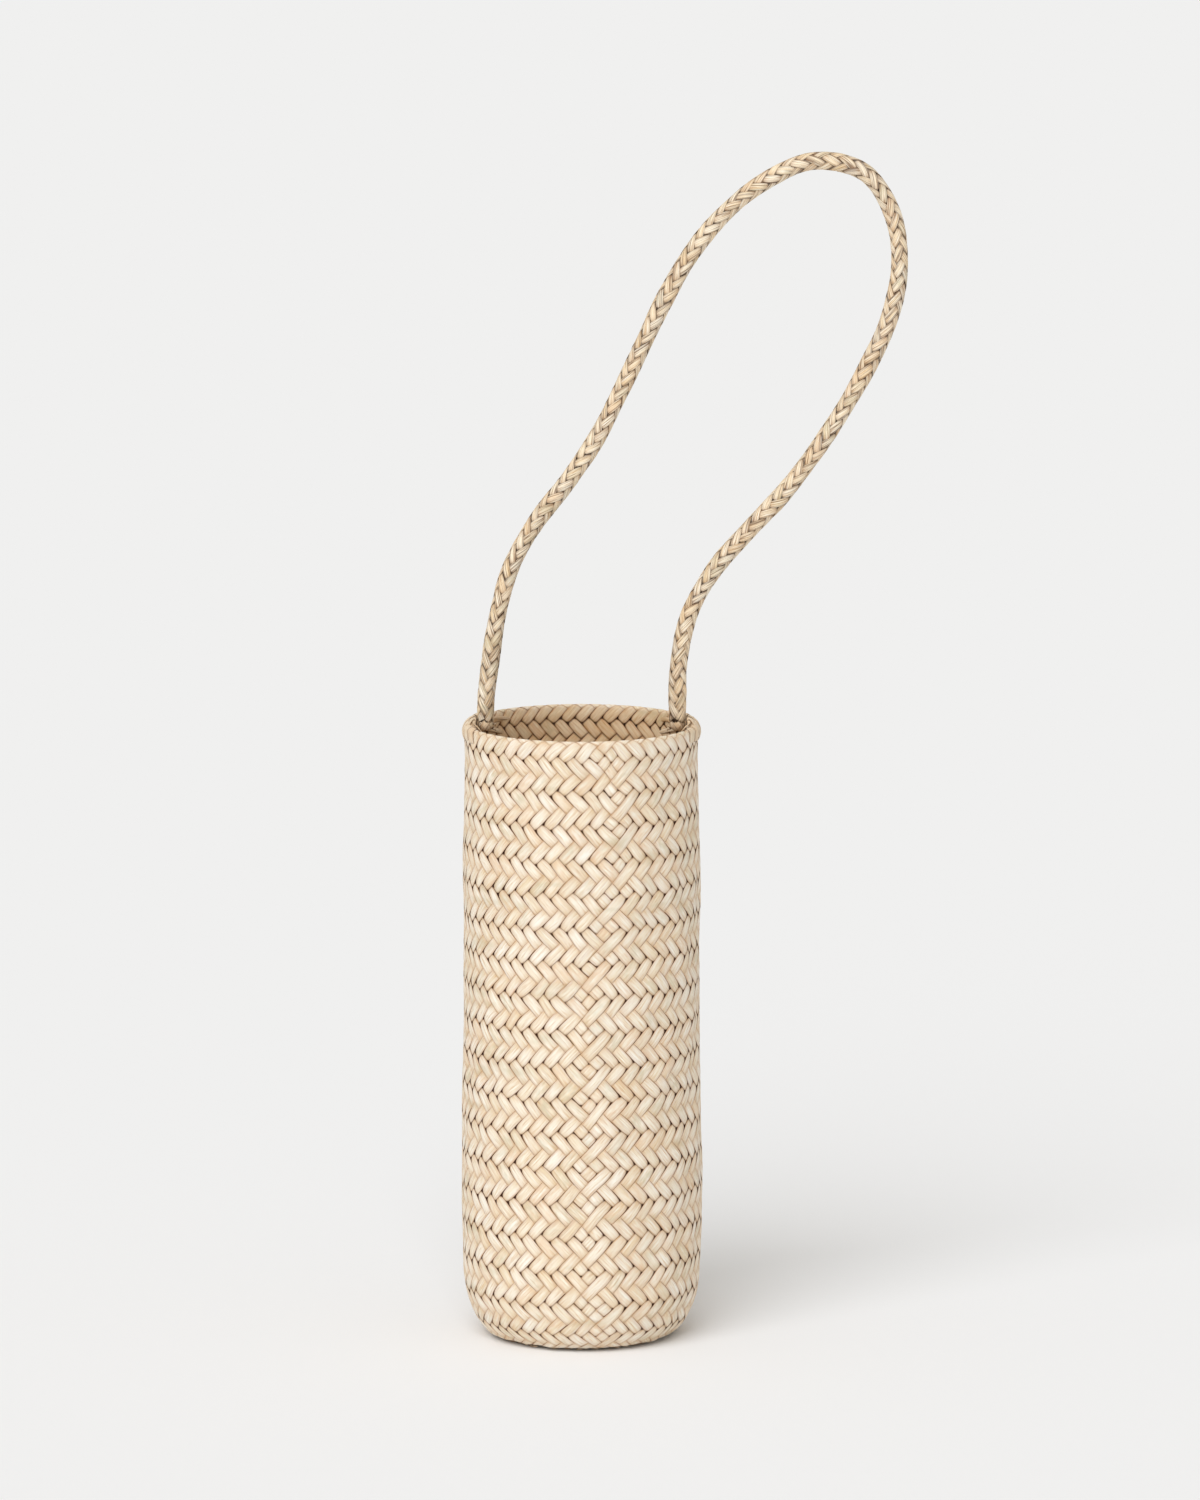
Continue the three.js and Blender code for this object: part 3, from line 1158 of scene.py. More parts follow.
    def offset(self, strips: Strips) -> np.ndarray:
        """Distance of each point of the strands from its strand's middle line, round the rope."""
        spacing = 2 * self.half_circle * self.level_rise / self.slant
        wide = spacing * self.width_share * strips.vary(self.widths, Trait.ROPE_WIDTH)
        wide = wide * (1 - self.pinch * strips.near_end**4 * strips.vary((0.0, 1.0), Trait.ROPE_PINCH) ** 2)
        return 0.5 * wide * (self.section.across() + strips.vary(self.shifts, Trait.ROPE_SHIFT))

    def radius(self, strips: Strips, reach: np.ndarray) -> np.ndarray:
        """Distance of each point from the rope's middle.

        Args:
            strips: the strands.
            reach: distance of each point along the rope.

        Returns:
            The distances.
        """
        lifted = self.middle + self.lift * strips.height
        lifted = lifted + self.crown * strips.crown * strips.vary(self.crowns, Trait.ROPE_CROWN)
        lifted = lifted + strips.vary(self.tilts, Trait.ROPE_TILT) * self.section.across()
        lifted = lifted + self.section.height()
        inset = np.minimum(reach, self.length - reach) - self.foot
        swell = 1 + waves(reach, self.swells)
        return lifted * (swell + (1 - self.foot_draw - swell) * np.exp(-((inset / self.foot_reach) ** 2)))

    def dark(self, strips: Strips) -> np.ndarray:
        """Where the strands get brown edges, and painted shade under others and at their floats' corners.

        Args:
            strips: the strands.

        Returns:
            Nearness to the edge, painted shade where buried, and no inside shade, on a last axis of 3.
        """
        across = np.abs(self.section.across())
        gap = strips.vary(self.gaps, Trait.ROPE_GAP)
        under = ease((self.buried_below - self.section.side() * strips.height) / self.buried_change)
        corner = gap * across**6 * strips.near_end**2
        edge = across**self.edge_power * strips.vary(self.edges, Trait.ROPE_EDGE)
        return shades(edge, np.maximum((0.5 + 0.5 * gap) * under, corner), 0.0)

    def add_core(self, piece: StrawPiece) -> None:
        """Adds the core, painted dark as the shade between the strands, that closes the gaps between them.
        Its ends are hollowed like cups.

        Args:
            piece: the rope's mesh.
        """
        around = np.arange(self.core_sides) * 2 * math.pi / self.core_sides
        hollow = self.cup * np.exp(1j * np.array(self.cup_turns))
        straight = np.linspace(self.cup, self.length - self.cup, int(self.length / self.core_step))
        run = np.concatenate([hollow.real, straight, self.length - hollow.real[::-1]])
        radius = np.concatenate([hollow.imag, np.full(len(straight), self.core), hollow.imag[::-1]])
        points = self.place(run[:, None] + 0 * around, around[None, :] + 0 * run[:, None], radius[:, None])
        # Painted shade: the core takes the edge brown and much of the dark gap colour.
        piece.add(points[None], points[None], np.array([0.2, 1.0, 0.5]), np.array([1.0, 0.72, 0.0]))

    def declare(self, rope: bpy.types.Object) -> None:
        """Works out the length of the rope's middle line in metres, and keeps nothing.

        Args:
            rope: the braid; not used.
        """
        metres = self.line * METRE
        float(run_length(metres)[-1])


@dataclass
class LooseStrand:
    """One flat strand that is laid along its own path, given for the right side.

    Each of its points is a place and the direction that its face looks there.
    """

    points: tuple
    width: float
    end_width: float
    # How much painted shade the strand gets, like straw inside the basket.
    inner: float = 0.0
    taper: float = 5.0
    dark_end: float = 2.5
    first_numbers: tuple = (500, 540)

    def lay(self, piece: StrawPiece, section: StrawSection, side: Side, number: int) -> None:
        """Adds the strand to a piece.

        Args:
            piece: the mesh that gets it.
            section: its cross section.
            side: the side of the basket.
            number: its number there, which its tone follows.
        """
        line = smooth_line(np.array(self.points, float), 0.5)
        way, face = line[:, :3], line[:, 3:]
        slope = unit(np.gradient(way, axis=0))
        face = unit(face - (face * slope).sum(axis=1)[:, None] * slope)
        cross = np.cross(slope, face)
        run = run_length(way)
        share = run / run[-1]
        width = self.end_width + (1 - self.end_width) * ease(np.minimum(share, 1 - share) * self.taper)
        offset = 0.5 * self.width * width[:, None] * section.across()
        points = way[:, None, :] + cross[:, None, :] * offset[..., None]
        points = points + face[:, None, :] * section.height()[:, None]
        points = points * np.array([side.value, 1.0, 1.0])
        # Painted shade towards the strand's ends, where it is tucked in.
        ends = np.clip(1 - np.minimum(run, run[-1] - run) / self.dark_end, 0, 1)
        strip = self.first_numbers[side is Side.LEFT] + number
        piece.add_strand(section, points, offset, run, strip, ends, self.inner)


@dataclass
class LipStrand:
    """One flat strand across the lip, given round the basket's axis so that it lies flush.

    Each place of its course is a radius, a height, an angle from the handle towards the back and half of the
    angle that the strand covers, for the right side and in degrees.
    """

    course: tuple
    dark_start: float = 4.0
    dark_end: float = 1.4
    dark_whole: float = 1.6
    first_numbers: tuple = (600, 640)

    def lay(self, piece: StrawPiece, section: StrawSection, side: Side, number: int) -> None:
        """Adds the strand to a piece.

        Args:
            piece: the mesh that gets it.
            section: its cross section.
            side: the side of the basket.
            number: its number there, which its tone follows.
        """
        line = smooth_line(np.array(self.course, float), 0.5)
        radius, rise, turn, half = line.T
        steps = np.gradient(line[:, :2], axis=0)
        steps /= np.linalg.norm(steps, axis=1)[:, None] + 1e-6
        across, height = section.across(), section.height()
        angle = np.radians(turn[:, None] + half[:, None] * across)
        out = radius[:, None] - steps[:, 1:] * height
        up = rise[:, None] + steps[:, :1] * height
        points = np.stack([side.value * out * np.cos(angle), out * np.sin(angle), up], axis=-1)
        run = run_length(line)
        # Painted shade towards the strand's ends, where it goes in under the weave.
        ends = self.dark_whole - np.minimum(run / self.dark_start, (run[-1] - run) / self.dark_end)
        ends = np.clip(ends, 0, 1)
        strip = self.first_numbers[side is Side.LEFT] + number
        piece.add_strand(section, points, np.radians(half * radius)[:, None] * across, run, strip, ends)


@dataclass
class HandleEnd:
    """Where the rope's strands part: some go over the lip, the rest spread and are tucked in inside.

    All places are given for the right side, and angles from the handle towards the back, in degrees.

    The fold is the saddle's way by radius, height and share of its course. The saddle's spread and drop are
    given by the share at which they stand and their reach, and half of its angle by that at the foot, what
    the spread adds and what the tip loses. The front is the course of the strand that closes the swelling.
    The wrap is given by level, share of its course and part of its height. The ledge's way has places and
    the direction of the face. A tail or a bridge has its start or its drop, its width, and its places by
    level, angle and height over the fabric. A knot band has the turn and the tilt of its axis.
    """

    side: Side
    outline: Outline
    rope_side: float = 52.75
    rope_middle: float = 48.0
    pivot_height: float = 311.0
    saddle_spread: tuple = (0.2, 0.35)
    saddle_drop: tuple = (0.3, 0.16)
    saddle_half: tuple = (1.4, 2.4, 0.8)
    saddle_tip: float = 0.7
    first_tail: int = 7
    first_band: int = 20
    knot_radius: float = 3.38
    knot_layer: float = 0.03
    knot_points: int = 19
    knot_turns: tuple = ((90.0, 0.0), (48.0, 14.0), (132.0, -14.0), (0.0, -34.0), (4.0, 34.0))
    section: StrawSection = straw(thickness=0.42, arch=0.16)
    fold: tuple = (
        (52.4, 310.4, 0.0), (52.8, 312.6, 0.1), (52.8, 314.2, 0.2), (53.5, 315.3, 0.28),
        (54.8, 314.7, 0.38), (56.5, 313.2, 0.5), (58.1, 311.5, 0.62), (59.35, 308.4, 0.75),
        (59.2, 305.4, 0.87), (57.6, 302.6, 1.0),
    )
    front: tuple = (
        (53.6, 304.5, -9.0, 3.2), (53.4, 308.5, -7.6, 3.2), (53.3, 311.9, -6.4, 3.0),
        (53.4, 313.7, -5.7, 2.9), (54.2, 314.5, -5.6, 3.1), (55.7, 313.7, -7.0, 3.5),
        (57.4, 311.7, -8.8, 3.9), (58.7, 309.2, -10.2, 3.9), (59.0, 306.4, -11.0, 3.5),
        (57.8, 303.6, -11.5, 3.0),
    )
    wrap: tuple = (
        (6.4, 0.0, 0.3), (5.8, 0.15, 1.3), (5.2, 0.3, 1.15), (4.6, 0.42, 1.0), (4.0, 0.5, 1.0),
        (3.4, 0.6, 1.0), (2.9, 0.75, 1.0), (2.3, 0.9, 0.9), (1.7, 1.0, -0.3),
    )
    ledge_way: tuple = (
        (54.6, -0.8, 312.6, 0.2, 0.0, 1.0), (54.5, 3.2, 313.5, 0.1, 0.1, 1.0),
        (54.4, 6.8, 313.2, -0.1, 0.3, 1.0), (54.4, 10.4, 312.1, -0.1, 0.3, 1.0),
        (53.7, 13.8, 310.7, -0.1, 0.3, 1.0),
    )
    tails: tuple = (
        (-2.0, 4.2, ((5.8, -9.0, 1.5), (6.9, -15.0, 1.1), (8.0, -19.0, 0.0))),
        (-0.8, 4.4, ((6.4, -3.0, 1.5), (8.0, -5.0, 1.1), (9.4, -7.0, 0.0))),
        (0.8, 4.4, ((6.3, 4.0, 1.5), (7.8, 7.0, 1.1), (9.2, 9.0, 0.0))),
        (2.0, 3.4, ((5.9, 9.0, 1.5), (6.1, 17.0, 1.2), (6.5, 24.0, 1.1), (7.2, 30.0, -1.6))),
        (2.6, 2.8, ((5.3, 12.0, 1.8), (5.1, 22.0, 1.4), (5.6, 32.0, 1.3), (6.8, 40.0, -1.6))),
        (2.6, 2.4, ((5.9, 16.0, 1.2), (5.7, 27.0, 1.6), (5.4, 38.0, 1.5), (6.2, 50.0, -1.8))),
    )
    low_bridge: tuple = (
        2.3, 2.5, ((6.2, 27.0, 2.4), (6.7, 36.0, 1.6), (7.2, 43.0, 0.8), (7.8, 49.0, -1.2)),
    )
    high_bridge: tuple = (
        0.0, 2.0, ((5.2, 28.0, 2.4), (5.2, 38.0, 1.7), (5.5, 46.0, 0.9), (5.9, 54.0, -1.2)),
    )

    def on_fabric(self, level: float, turn: float, height: float) -> tuple:
        """A place over the woven fabric, with the direction that a strand's face looks there.

        Args:
            level: level on the outline, above 4 inside the basket.
            turn: angle from the handle towards the back, in degrees.
            height: height over the fabric's middle.

        Returns:
            x, y and z of the place, then x, y and z of the direction.
        """
        angle = math.radians(90 + turn)
        low, high = (self.outline.place(level, angle, rise) for rise in (height, height + 1))
        return (*low, *(high - low))

    def saddle(self, start: float, turn: float, drop: float, inset: float) -> LipStrand:
        """One strand that rises at the rope's foot, slopes over the lip and goes into the wall outside.

        Args:
            start: its angle at the rope.
            turn: its angle on the lip.
            drop: how much lower than the highest strand it folds.
            inset: how much closer to the lip it lies.

        Returns:
            The strand.
        """
        course = []
        for radius, rise, share in self.fold:
            spread = min(1.0, max(0.0, (share - self.saddle_spread[0]) / self.saddle_spread[1]))
            lower = drop * math.exp(-(((share - self.saddle_drop[0]) / self.saddle_drop[1]) ** 2))
            foot, more, less = self.saddle_half
            half = foot + more * spread - less * max(0.0, share - self.saddle_tip)
            course.append((radius - inset * spread, rise - lower, start + (turn - start) * spread, half))
        return LipStrand(tuple(course))

    def rim_wrap(self, turns: tuple, height: float, half: float) -> LipStrand:
        """One strand that comes up inside from under the rope's foot and is wrapped flat over the lip.

        Args:
            turns: its angles low inside, on the lip and outside.
            height: its height over the fabric on the lip.
            half: half of the angle that it covers.

        Returns:
            The strand.
        """
        course = []
        for level, share, part in self.wrap:
            radius, _, rise = self.outline.place(level, math.pi / 2, height * part)
            course.append((radius, rise, np.interp(share, (0.0, 0.5, 1.0), turns), half))
        return LipStrand(tuple(course))

    def lip_thread(self, way: float) -> LooseStrand:
        """A thin strand along the lip's inner edge, towards the back or the front.

        Args:
            way: 1 towards the back, -1 towards the front.

        Returns:
            The strand.
        """
        points = (
            (self.rope_side + 0.5, 2.6 * way, self.pivot_height + 3.9, -0.3, 0.6 * way, 0.9),
            (self.rope_side + 0.5, 6.0 * way, self.pivot_height + 3.1, -0.4, 0.5 * way, 0.9),
            self.on_fabric(4.3, 12.0 * way, 2.4),
            self.on_fabric(4.25, 20.0 * way, 1.9),
            self.on_fabric(4.6, 29.0 * way, -0.2),
        )
        return LooseStrand(points, width=1.8, end_width=0.6, inner=0.25)

    def ledge(self, way: float) -> LooseStrand:
        """A flat strand that fills the hollow between the swelling and the lip's wraps.

        Args:
            way: 1 towards the back, -1 towards the front.

        Returns:
            The strand.
        """
        mirror = np.array([1.0, way, 1.0, 1.0, way, 1.0])
        return LooseStrand(tuple(np.array(self.ledge_way) * mirror), width=3.7, end_width=0.9)

    def knot_band(self, layer: int) -> LooseStrand:
        """One band round the knot that the rope's end turns on.

        Args:
            layer: how many bands lie under it.

        Returns:
            The strand.
        """
        spin, lean = np.radians(self.knot_turns[layer])
        axis = np.array([math.cos(spin) * math.cos(lean), math.sin(spin) * math.cos(lean), math.sin(lean)])
        top = unit(np.array([0.0, 0.0, 1.0]) - axis * axis[2])
        turn = np.linspace(-math.pi, math.pi, self.knot_points)[:, None]
        way = top * np.cos(turn) + np.cross(axis, top) * np.sin(turn)
        middle = np.array([self.rope_middle, 0.0, self.pivot_height])
        points = np.hstack([middle + way * (self.knot_radius + self.knot_layer * layer), way])
        return LooseStrand(tuple(points), width=3.5, end_width=0.95, inner=0.25)

    def bridge(self, drop: float, width: float, places: tuple) -> LooseStrand:
        """One strand from the knot's inner side to the inner wall, below the rope's swing.

        Args:
            drop: how much lower than the knot's middle it leaves.
            width: its width.
            places: level, angle and height of each place on the inner wall.

        Returns:
            The strand.
        """
        height = self.pivot_height - drop
        points = (
            (44.5, -1.2, height - 0.1, -1.0, -0.3, 0.3),
            (43.3, 2.2, height - 0.5, -1.0, -0.3, 0.4),
            (43.7, 8.0, height - 1.6, -0.8, -0.5, 0.5),
            (44.9, 16.0, height - 1.8, -0.7, -0.6, 0.4),
            *(self.on_fabric(*place) for place in places),
        )
        return LooseStrand(points, width, end_width=0.3, inner=0.15)

    def inside_tail(self, start: float, width: float, places: tuple) -> LooseStrand:
        """One strand from under the rope's foot along the inner wall, tucked in at its end.

        Args:
            start: its distance towards the back at the rope.
            width: its width.
            places: level, angle and height of each place on the inner wall.

        Returns:
            The strand.
        """
        points = (
            (self.rope_middle + 0.5, start * 0.5, self.pivot_height - 3.2, 0.3, 0.0, -1.0),
            (self.rope_middle + 3.0, start * 1.3, self.pivot_height - 5.2, -1.0, 0.0, -0.3),
            *(self.on_fabric(*place) for place in places),
        )
        return LooseStrand(points, width, end_width=0.5, inner=0.85)

    def build(self) -> bpy.types.Object:
        """Makes the strands of one end.

        Returns:
            The piece, which replaces the plain hook and knot.
        """
        piece = StrawPiece(f"handle_strands_{self.side.name.lower()}")
        strands: dict[int, LooseStrand | LipStrand] = {
            0: self.saddle(1.6, 9.0, 1.5, 0.35),
            1: self.saddle(0.6, 2.4, 0.4, 0.0),
            2: self.saddle(-1.1, -4.9, 1.0, 0.15),
            14: LipStrand(self.front),
            15: self.ledge(-1.0),
            16: self.ledge(1.0),
            3: self.rim_wrap((-4.0, -12.4, -13.2), 0.85, 4.0),
            4: self.rim_wrap((-13.0, -19.6, -20.8), 0.7, 3.7),
            13: self.rim_wrap((6.0, 16.2, 17.0), 0.8, 4.0),
            5: self.lip_thread(-1.0),
            6: self.lip_thread(1.0),
        }
        for place, tail in enumerate(self.tails):
            strands[self.first_tail + place] = self.inside_tail(*tail)
        strands[18] = self.bridge(*self.low_bridge)
        for layer in range(len(self.knot_turns)):
            strands[self.first_band + layer] = self.knot_band(layer)
        if self.side is Side.LEFT:
            strands[17] = self.bridge(*self.high_bridge)
        for number, strand in strands.items():
            strand.lay(piece, self.section, self.side, number)
        return piece.build()


def tone(red: int, green: int, blue: int) -> tuple:
    """A colour for a node's socket.

    Args:
        red: its red on the usual scale from 0 to 255.
        green: its green.
        blue: its blue.

    Returns:
        The linear red, green, blue and a full alpha.
    """
    linear = []
    for share in (red / 255, green / 255, blue / 255):
        linear.append(share / 12.92 if share <= 0.04045 else ((share + 0.055) / 1.055) ** 2.4)
    return (*linear, 1.0)


@dataclass(frozen=True)
class StrawFinish:
    """How one kind of straw looks: its colours, how strong its grain is, and its gloss."""

    slot: Finish
    pale: tuple
    warm: tuple
    shade: tuple
    # Brown for the edges, partly the straw's own and partly painted shade in the creases.
    edge: tuple
    # Painted shade for the gaps under strips, the corners and the strand ends.
    deep: tuple
    # A darker, warmer copy of the straw for the inside, which is painted shade.
    inner: tuple = (0.93, 0.81, 0.66, 1.0)
    edge_amount: float = 0.78
    grain: float = 0.85
    stain: float = 0.45
    split: float = 0.22
    relief: float = 0.6
    relief_depth: float = 0.0002
    gloss: float = 0.25

    def material(self) -> bpy.types.Material:
        """The material of this finish, made once.

        Returns:
            The node material.
        """
        name = f"{self.slot.value}_grain"
        if name in bpy.data.materials:
            return bpy.data.materials[name]
        made = bpy.data.materials.new(name)
        made.use_nodes = True
        tree = made.node_tree
        shader = tree.nodes["Principled BSDF"]
        group = tree.nodes.new("ShaderNodeGroup")
        group.node_tree = straw_group()
        for attribute, socket in LAYERS.items():
            reader = tree.nodes.new("ShaderNodeAttribute")
            reader.attribute_name = attribute
            tree.links.new(reader.outputs["Vector"], group.inputs[socket])
        spot = tree.nodes.new("ShaderNodeTexCoord")
        tree.links.new(spot.outputs["Object"], group.inputs["Spot"])
        for socket in (*COLOUR_SOCKETS, *AMOUNT_SOCKETS):
            group.inputs[socket].default_value = getattr(self, socket.lower().replace(" ", "_"))
        bump = tree.nodes.new("ShaderNodeBump")
        bump.inputs["Strength"].default_value = self.relief
        bump.inputs["Distance"].default_value = self.relief_depth
        tree.links.new(group.outputs["Colour"], shader.inputs["Base Color"])
        tree.links.new(group.outputs["Roughness"], shader.inputs["Roughness"])
        tree.links.new(group.outputs["Height"], bump.inputs["Height"])
        tree.links.new(bump.outputs["Normal"], shader.inputs["Normal"])
        shader.inputs["Specular IOR Level"].default_value = self.gloss
        return made


class NodeSketch:
    """A short way to place and join the nodes of one group."""

    def __init__(self, tree: bpy.types.NodeTree) -> None:
        """Keeps the tree that the nodes go into."""
        self.tree = tree

    def node(self, kind: str, values: dict[int, object], **settings: object) -> bpy.types.Node:
        """Adds a node and feeds its inputs.

        Args:
            kind: the node's type.
            values: a socket or a value for each input, by the input's place.
            settings: the node's own settings.

        Returns:
            The node.
        """
        made = self.tree.nodes.new(kind)
        for key, value in settings.items():
            setattr(made, key, value)
        for place, value in values.items():
            if isinstance(value, bpy.types.NodeSocket):
                self.tree.links.new(value, made.inputs[place])
            else:
                made.inputs[place].default_value = value
        return made

    def maths(self, operation: str, *values: object, clamp: bool = False) -> bpy.types.NodeSocket:
        """A maths node's result."""
        return self.node(
            "ShaderNodeMath", dict(enumerate(values)), operation=operation, use_clamp=clamp
        ).outputs[0]

    def times(self, first: object, second: object, clamp: bool = False) -> bpy.types.NodeSocket:
        """One value times another."""
        return self.maths("MULTIPLY", first, second, clamp=clamp)

    def blend(self, share: object, first: object, second: object, way: str = "MIX") -> bpy.types.NodeSocket:
        """A mix of two colours."""
        values = {0: share, 6: first, 7: second}
        return self.node("ShaderNodeMix", values, data_type="RGBA", blend_type=way).outputs[2]

    def span(self, value: object, low: float, high: float) -> bpy.types.NodeSocket:
        """0 to 1 as a value goes from low to high."""
        return self.node("ShaderNodeMapRange", {0: value, 1: low, 2: high, 3: 0.0, 4: 1.0}).outputs[0]

    def parts(self, vector: object) -> bpy.types.bpy_prop_collection:
        """The three values of a vector."""
        return self.node("ShaderNodeSeparateXYZ", {0: vector}).outputs

    def noise(self, vector: object, scale: tuple, detail: float, rough: float) -> bpy.types.NodeSocket:
        """Noise from about 0 to 1, stretched by a scale for each axis."""
        spread = self.node("ShaderNodeVectorMath", {0: vector, 1: scale}, operation="MULTIPLY").outputs[0]
        return self.node("ShaderNodeTexNoise", {0: spread, 2: 1.0, 3: detail, 4: rough}).outputs[0]


def straw_group() -> bpy.types.NodeTree:
    """The shared look of a straw strip: lengthwise grain, tints and stains, brown edges that are partly
    painted shade, and painted shade at the floats' ends, in the gaps where strips dive under and on the
    inside.

    Returns:
        The node group, made once.
    """
    name = "straw_strip"
    if name in bpy.data.node_groups:
        return bpy.data.node_groups[name]
    tree = bpy.data.node_groups.new(name, "ShaderNodeTree")
    for names, way, kind in (
        ((*LAYERS.values(), "Spot"), "INPUT", "Vector"),
        (COLOUR_SOCKETS, "INPUT", "Color"),
        (AMOUNT_SOCKETS, "INPUT", "Float"),
        (("Colour",), "OUTPUT", "Color"),
        (("Roughness", "Height"), "OUTPUT", "Float"),
    ):
        for socket in names:
            tree.interface.new_socket(name=socket, in_out=way, socket_type=f"NodeSocket{kind}")
    start = tree.nodes.new("NodeGroupInput").outputs
    end = tree.nodes.new("NodeGroupOutput").inputs
    pen = NodeSketch(tree)
    # look holds tone, nearness to a float's end and tint; rim holds the edges and where shade is painted.
    look, rim = pen.parts(start["Look"]), pen.parts(start["Rim"])
    fibres = pen.noise(start["Place"], (3.1, 0.13, 1.0), 3.0, 0.62)
    streaks = pen.noise(start["Place"], (1.0, 0.03, 3.1), 2.0, 0.5)
    blotches = pen.noise(start["Place"], (0.5, 0.22, 5.7), 2.0, 0.5)
    clouds = pen.noise(start["Spot"], (34.0, 34.0, 95.0), 2.0, 0.55)
    splits = pen.noise(start["Place"], (0.9, 0.02, 2.3), 1.0, 0.5)
    warmth = pen.maths("ADD", pen.times(look[0], 0.55), pen.span(streaks, 0.3, 1.1), clamp=True)
    crack = pen.span(pen.maths("ABSOLUTE", pen.maths("SUBTRACT", splits, 0.5)), 0.05, 0.0)
    tired = pen.times(pen.span(look[2], 0.72, 1.0), pen.span(blotches, 0.4, 0.62))
    greyed = pen.maths("MAXIMUM", tired, pen.span(clouds, 0.6, 0.74))
    blushed = pen.times(pen.span(look[2], 0.34, 0.0), pen.span(blotches, 0.36, 0.62))
    # Painted shade towards each float's ends, where it bends down under the crossing strip.
    end_shade = pen.times(pen.maths("POWER", look[1], 2.5), 0.42)
    colour = pen.blend(warmth, start["Pale"], start["Warm"])
    for share, layer in (
        (pen.times(pen.span(fibres, 0.46, 0.28), 0.85), tone(255, 252, 244)),
        (pen.times(pen.span(fibres, 0.52, 0.74), start["Grain"]), start["Shade"]),
        (pen.times(crack, start["Split"]), start["Edge"]),
        (pen.times(greyed, start["Stain"]), tone(190, 180, 146)),
        (pen.times(blushed, start["Stain"]), tone(228, 190, 150)),
        (end_shade, start["Shade"]),
        # Brown edges, partly the straw's own and partly painted shade in the creases between strips.
        (pen.times(rim[0], start["Edge amount"]), start["Edge"]),
    ):
        colour = pen.blend(share, colour, layer)
    # Painted shade: faces inside the basket are multiplied by the inner colour.
    colour = pen.blend(rim[2], colour, pen.blend(1.0, colour, start["Inner"], "MULTIPLY"))
    # Painted shade: buried faces, open corners and strand ends take the dark gap colour.
    colour = pen.blend(rim[1], colour, start["Deep"])
    tree.links.new(colour, end["Colour"])
    tree.links.new(pen.maths("MULTIPLY_ADD", fibres, 0.25, 0.42), end["Roughness"])
    tree.links.new(pen.times(pen.maths("ADD", fibres, streaks), 0.6), end["Height"])
    return tree


@dataclass
class Studio:
    """Pale floor, soft light and the camera at the photograph's angle. Lengths here are in metres."""

    distance: float = 5.0
    elevation: float = 9.76
    aim: tuple = (0.00925, 0.0, 0.2977)
    lens: float = 300.0
    sensor: float = 36.0
    farthest: float = 100.0
    floor_side: float = 60.0
    ground: tuple = tone(241, 241, 241)
    floor_paper: tuple = (0.918, 0.931, 0.956, 1.0)
    sky_light: float = 0.56
    sky_tint: tuple = (1.0, 0.966, 0.902, 1.0)
    key_light: float = 1.87
    key_tint: tuple = (0.98, 0.988, 1.0)
    key_size: float = 46.0
    key_rise: float = 42.0
    key_turn: float = -21.0

    def camera(self) -> None:
        """Sets the camera far off with a long lens."""
        turn = math.radians(self.elevation)
        data = bpy.data.cameras.new("camera")
        data.sensor_fit = "HORIZONTAL"
        data.sensor_width = self.sensor
        data.lens = self.lens
        data.clip_end = self.farthest
        made = show(bpy.data.objects.new("camera", data))
        x, y, z = self.aim
        made.location = (x, y - self.distance * math.cos(turn), z + self.distance * math.sin(turn))
        made.rotation_euler = (math.pi / 2 - turn, 0.0, 0.0)
        bpy.context.scene.camera = made

    def floor(self) -> None:
        """Lays a wide pale floor that takes the basket's shadow."""
        bpy.ops.object.select_all(action="DESELECT")
        bpy.ops.mesh.primitive_plane_add(size=self.floor_side, location=(0.0, 0.0, 0.0))
        ground = bpy.context.active_object
        ground.name = "floor"
        made = bpy.data.materials.new("floor_paper")
        made.use_nodes = True
        shader = made.node_tree.nodes["Principled BSDF"]
        shader.inputs["Base Color"].default_value = self.floor_paper
        shader.inputs["Roughness"].default_value = 1.0
        shader.inputs["Specular IOR Level"].default_value = 0.0
        ground.data.materials.append(made)

    def lights(self) -> None:
        """Adds a soft light from the left front and an even sky, which is plain paper to the camera."""
        data = bpy.data.lights.new("key", "SUN")
        data.energy = self.key_light
        data.color = self.key_tint
        data.angle = math.radians(self.key_size)
        lamp = show(bpy.data.objects.new("key", data))
        lamp.rotation_euler = (math.radians(90 - self.key_rise), 0.0, math.radians(self.key_turn))
        world = bpy.data.worlds.new("studio")
        world.use_nodes = True
        bpy.context.scene.world = world
        tree = world.node_tree
        sky = tree.nodes["Background"]
        sky.inputs["Color"].default_value = self.sky_tint
        sky.inputs["Strength"].default_value = self.sky_light
        shown = tree.nodes.new("ShaderNodeBackground")
        shown.inputs["Color"].default_value = self.ground
        ray = tree.nodes.new("ShaderNodeLightPath")
        either = tree.nodes.new("ShaderNodeMath")
        either.operation = "MAXIMUM"
        mix = tree.nodes.new("ShaderNodeMixShader")
        for source, target in (
            (ray.outputs["Is Camera Ray"], either.inputs[0]),
            (ray.outputs["Is Glossy Ray"], either.inputs[1]),
            (either.outputs[0], mix.inputs[0]),
            (sky.outputs[0], mix.inputs[1]),
            (shown.outputs[0], mix.inputs[2]),
            (mix.outputs[0], tree.nodes["World Output"].inputs[0]),
        ):
            tree.links.new(source, target)


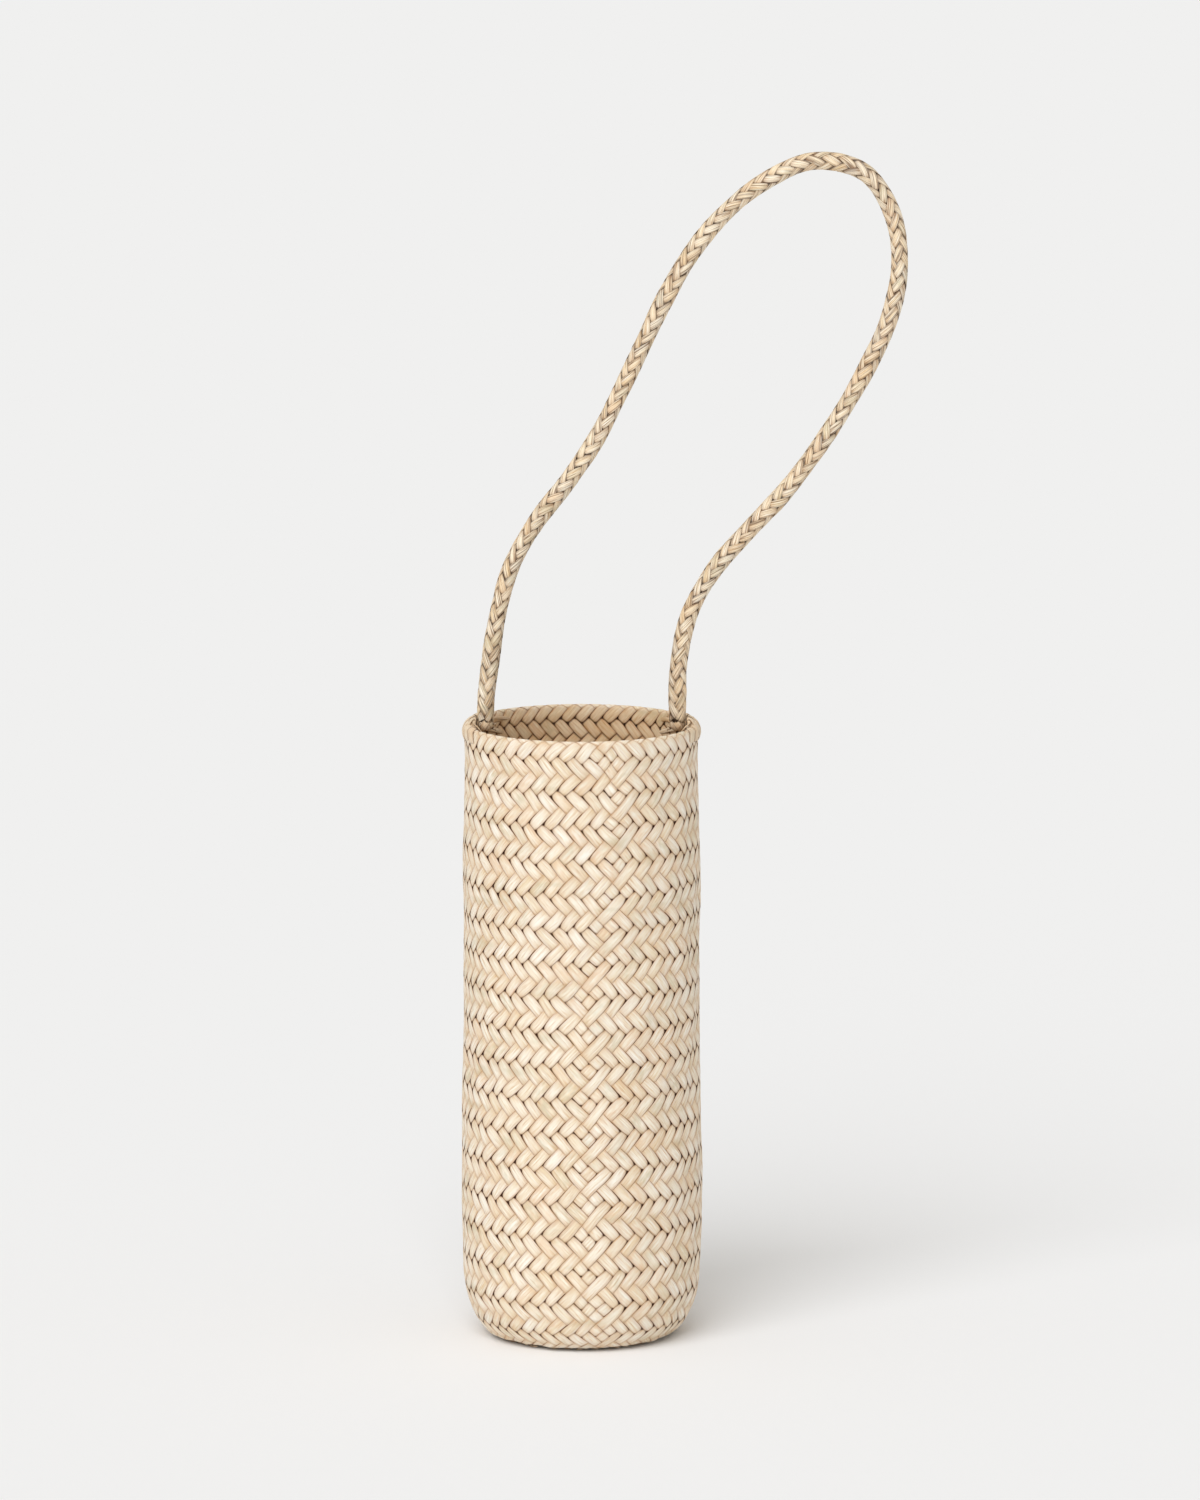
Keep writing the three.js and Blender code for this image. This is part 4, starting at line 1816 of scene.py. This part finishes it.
@dataclass
class WallBasket:
    """The whole basket: body, rim, base, rope and the two handle ends."""

    fabric: Fabric = field(default_factory=Fabric)
    # In each finish the edge brown is partly painted shade, and the deep colour is painted shade for the
    # gaps.
    body_straw: StrawFinish = StrawFinish(
        Finish.BODY,
        pale=tone(252, 249, 240),
        warm=tone(234, 216, 184),
        shade=tone(204, 158, 98),
        edge=tone(172, 106, 44),
        deep=tone(58, 28, 8),
    )
    rim_straw: StrawFinish = replace(body_straw, slot=Finish.RIM)
    rope_straw: StrawFinish = StrawFinish(
        Finish.ROPE,
        pale=tone(255, 248, 230),
        warm=tone(240, 210, 164),
        shade=tone(156, 104, 54),
        edge=tone(88, 48, 18),
        deep=tone(40, 18, 5),
        edge_amount=0.92,
        grain=0.9,
        split=0.85,
    )
    end_straw: StrawFinish = StrawFinish(
        Finish.END,
        pale=tone(244, 227, 200),
        warm=tone(226, 200, 165),
        shade=tone(186, 140, 92),
        edge=tone(122, 72, 30),
        deep=tone(50, 24, 8),
        edge_amount=0.75,
    )

    def finish(self, piece: bpy.types.Object, body: str, look: StrawFinish, *nodes: str) -> None:
        """Dresses a piece and ties it to the frame.

        Args:
            piece: the piece.
            body: the body that it moves with.
            look: its finish.
            nodes: the plain solids that it stands for.
        """
        piece.data.materials.append(look.material())
        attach(piece, body)
        if nodes:
            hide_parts(*nodes)
        LOG.info("%s: %d faces, %s", piece.name, len(piece.data.polygons), look.slot.value)

    def build(self) -> None:
        """Makes every piece, the rope first."""
        self.finish(RopeHandle().build(), "handle", self.rope_straw, "handle_rope")
        body = WovenBody(self.fabric)
        for piece in body.build():
            self.finish(piece, "basket", self.body_straw, "woven_body")
        self.finish(FoldedRim(body).build(), "basket", self.rim_straw, "rim_border")
        self.finish(BaseMat().build(), "basket", self.body_straw)
        for side in Side:
            strands = HandleEnd(side, self.fabric.outline).build()
            self.finish(strands, "basket", self.end_straw, f"handle_end_{side.name.lower()}")


def main() -> None:
    """Builds the studio and the basket."""
    logging.basicConfig(level=logging.INFO, format="%(message)s")
    studio = Studio()
    studio.camera()
    WallBasket().build()
    studio.floor()
    studio.lights()
    bpy.context.scene.view_settings.view_transform = "Standard"


if __name__ == "__main__":
    main()
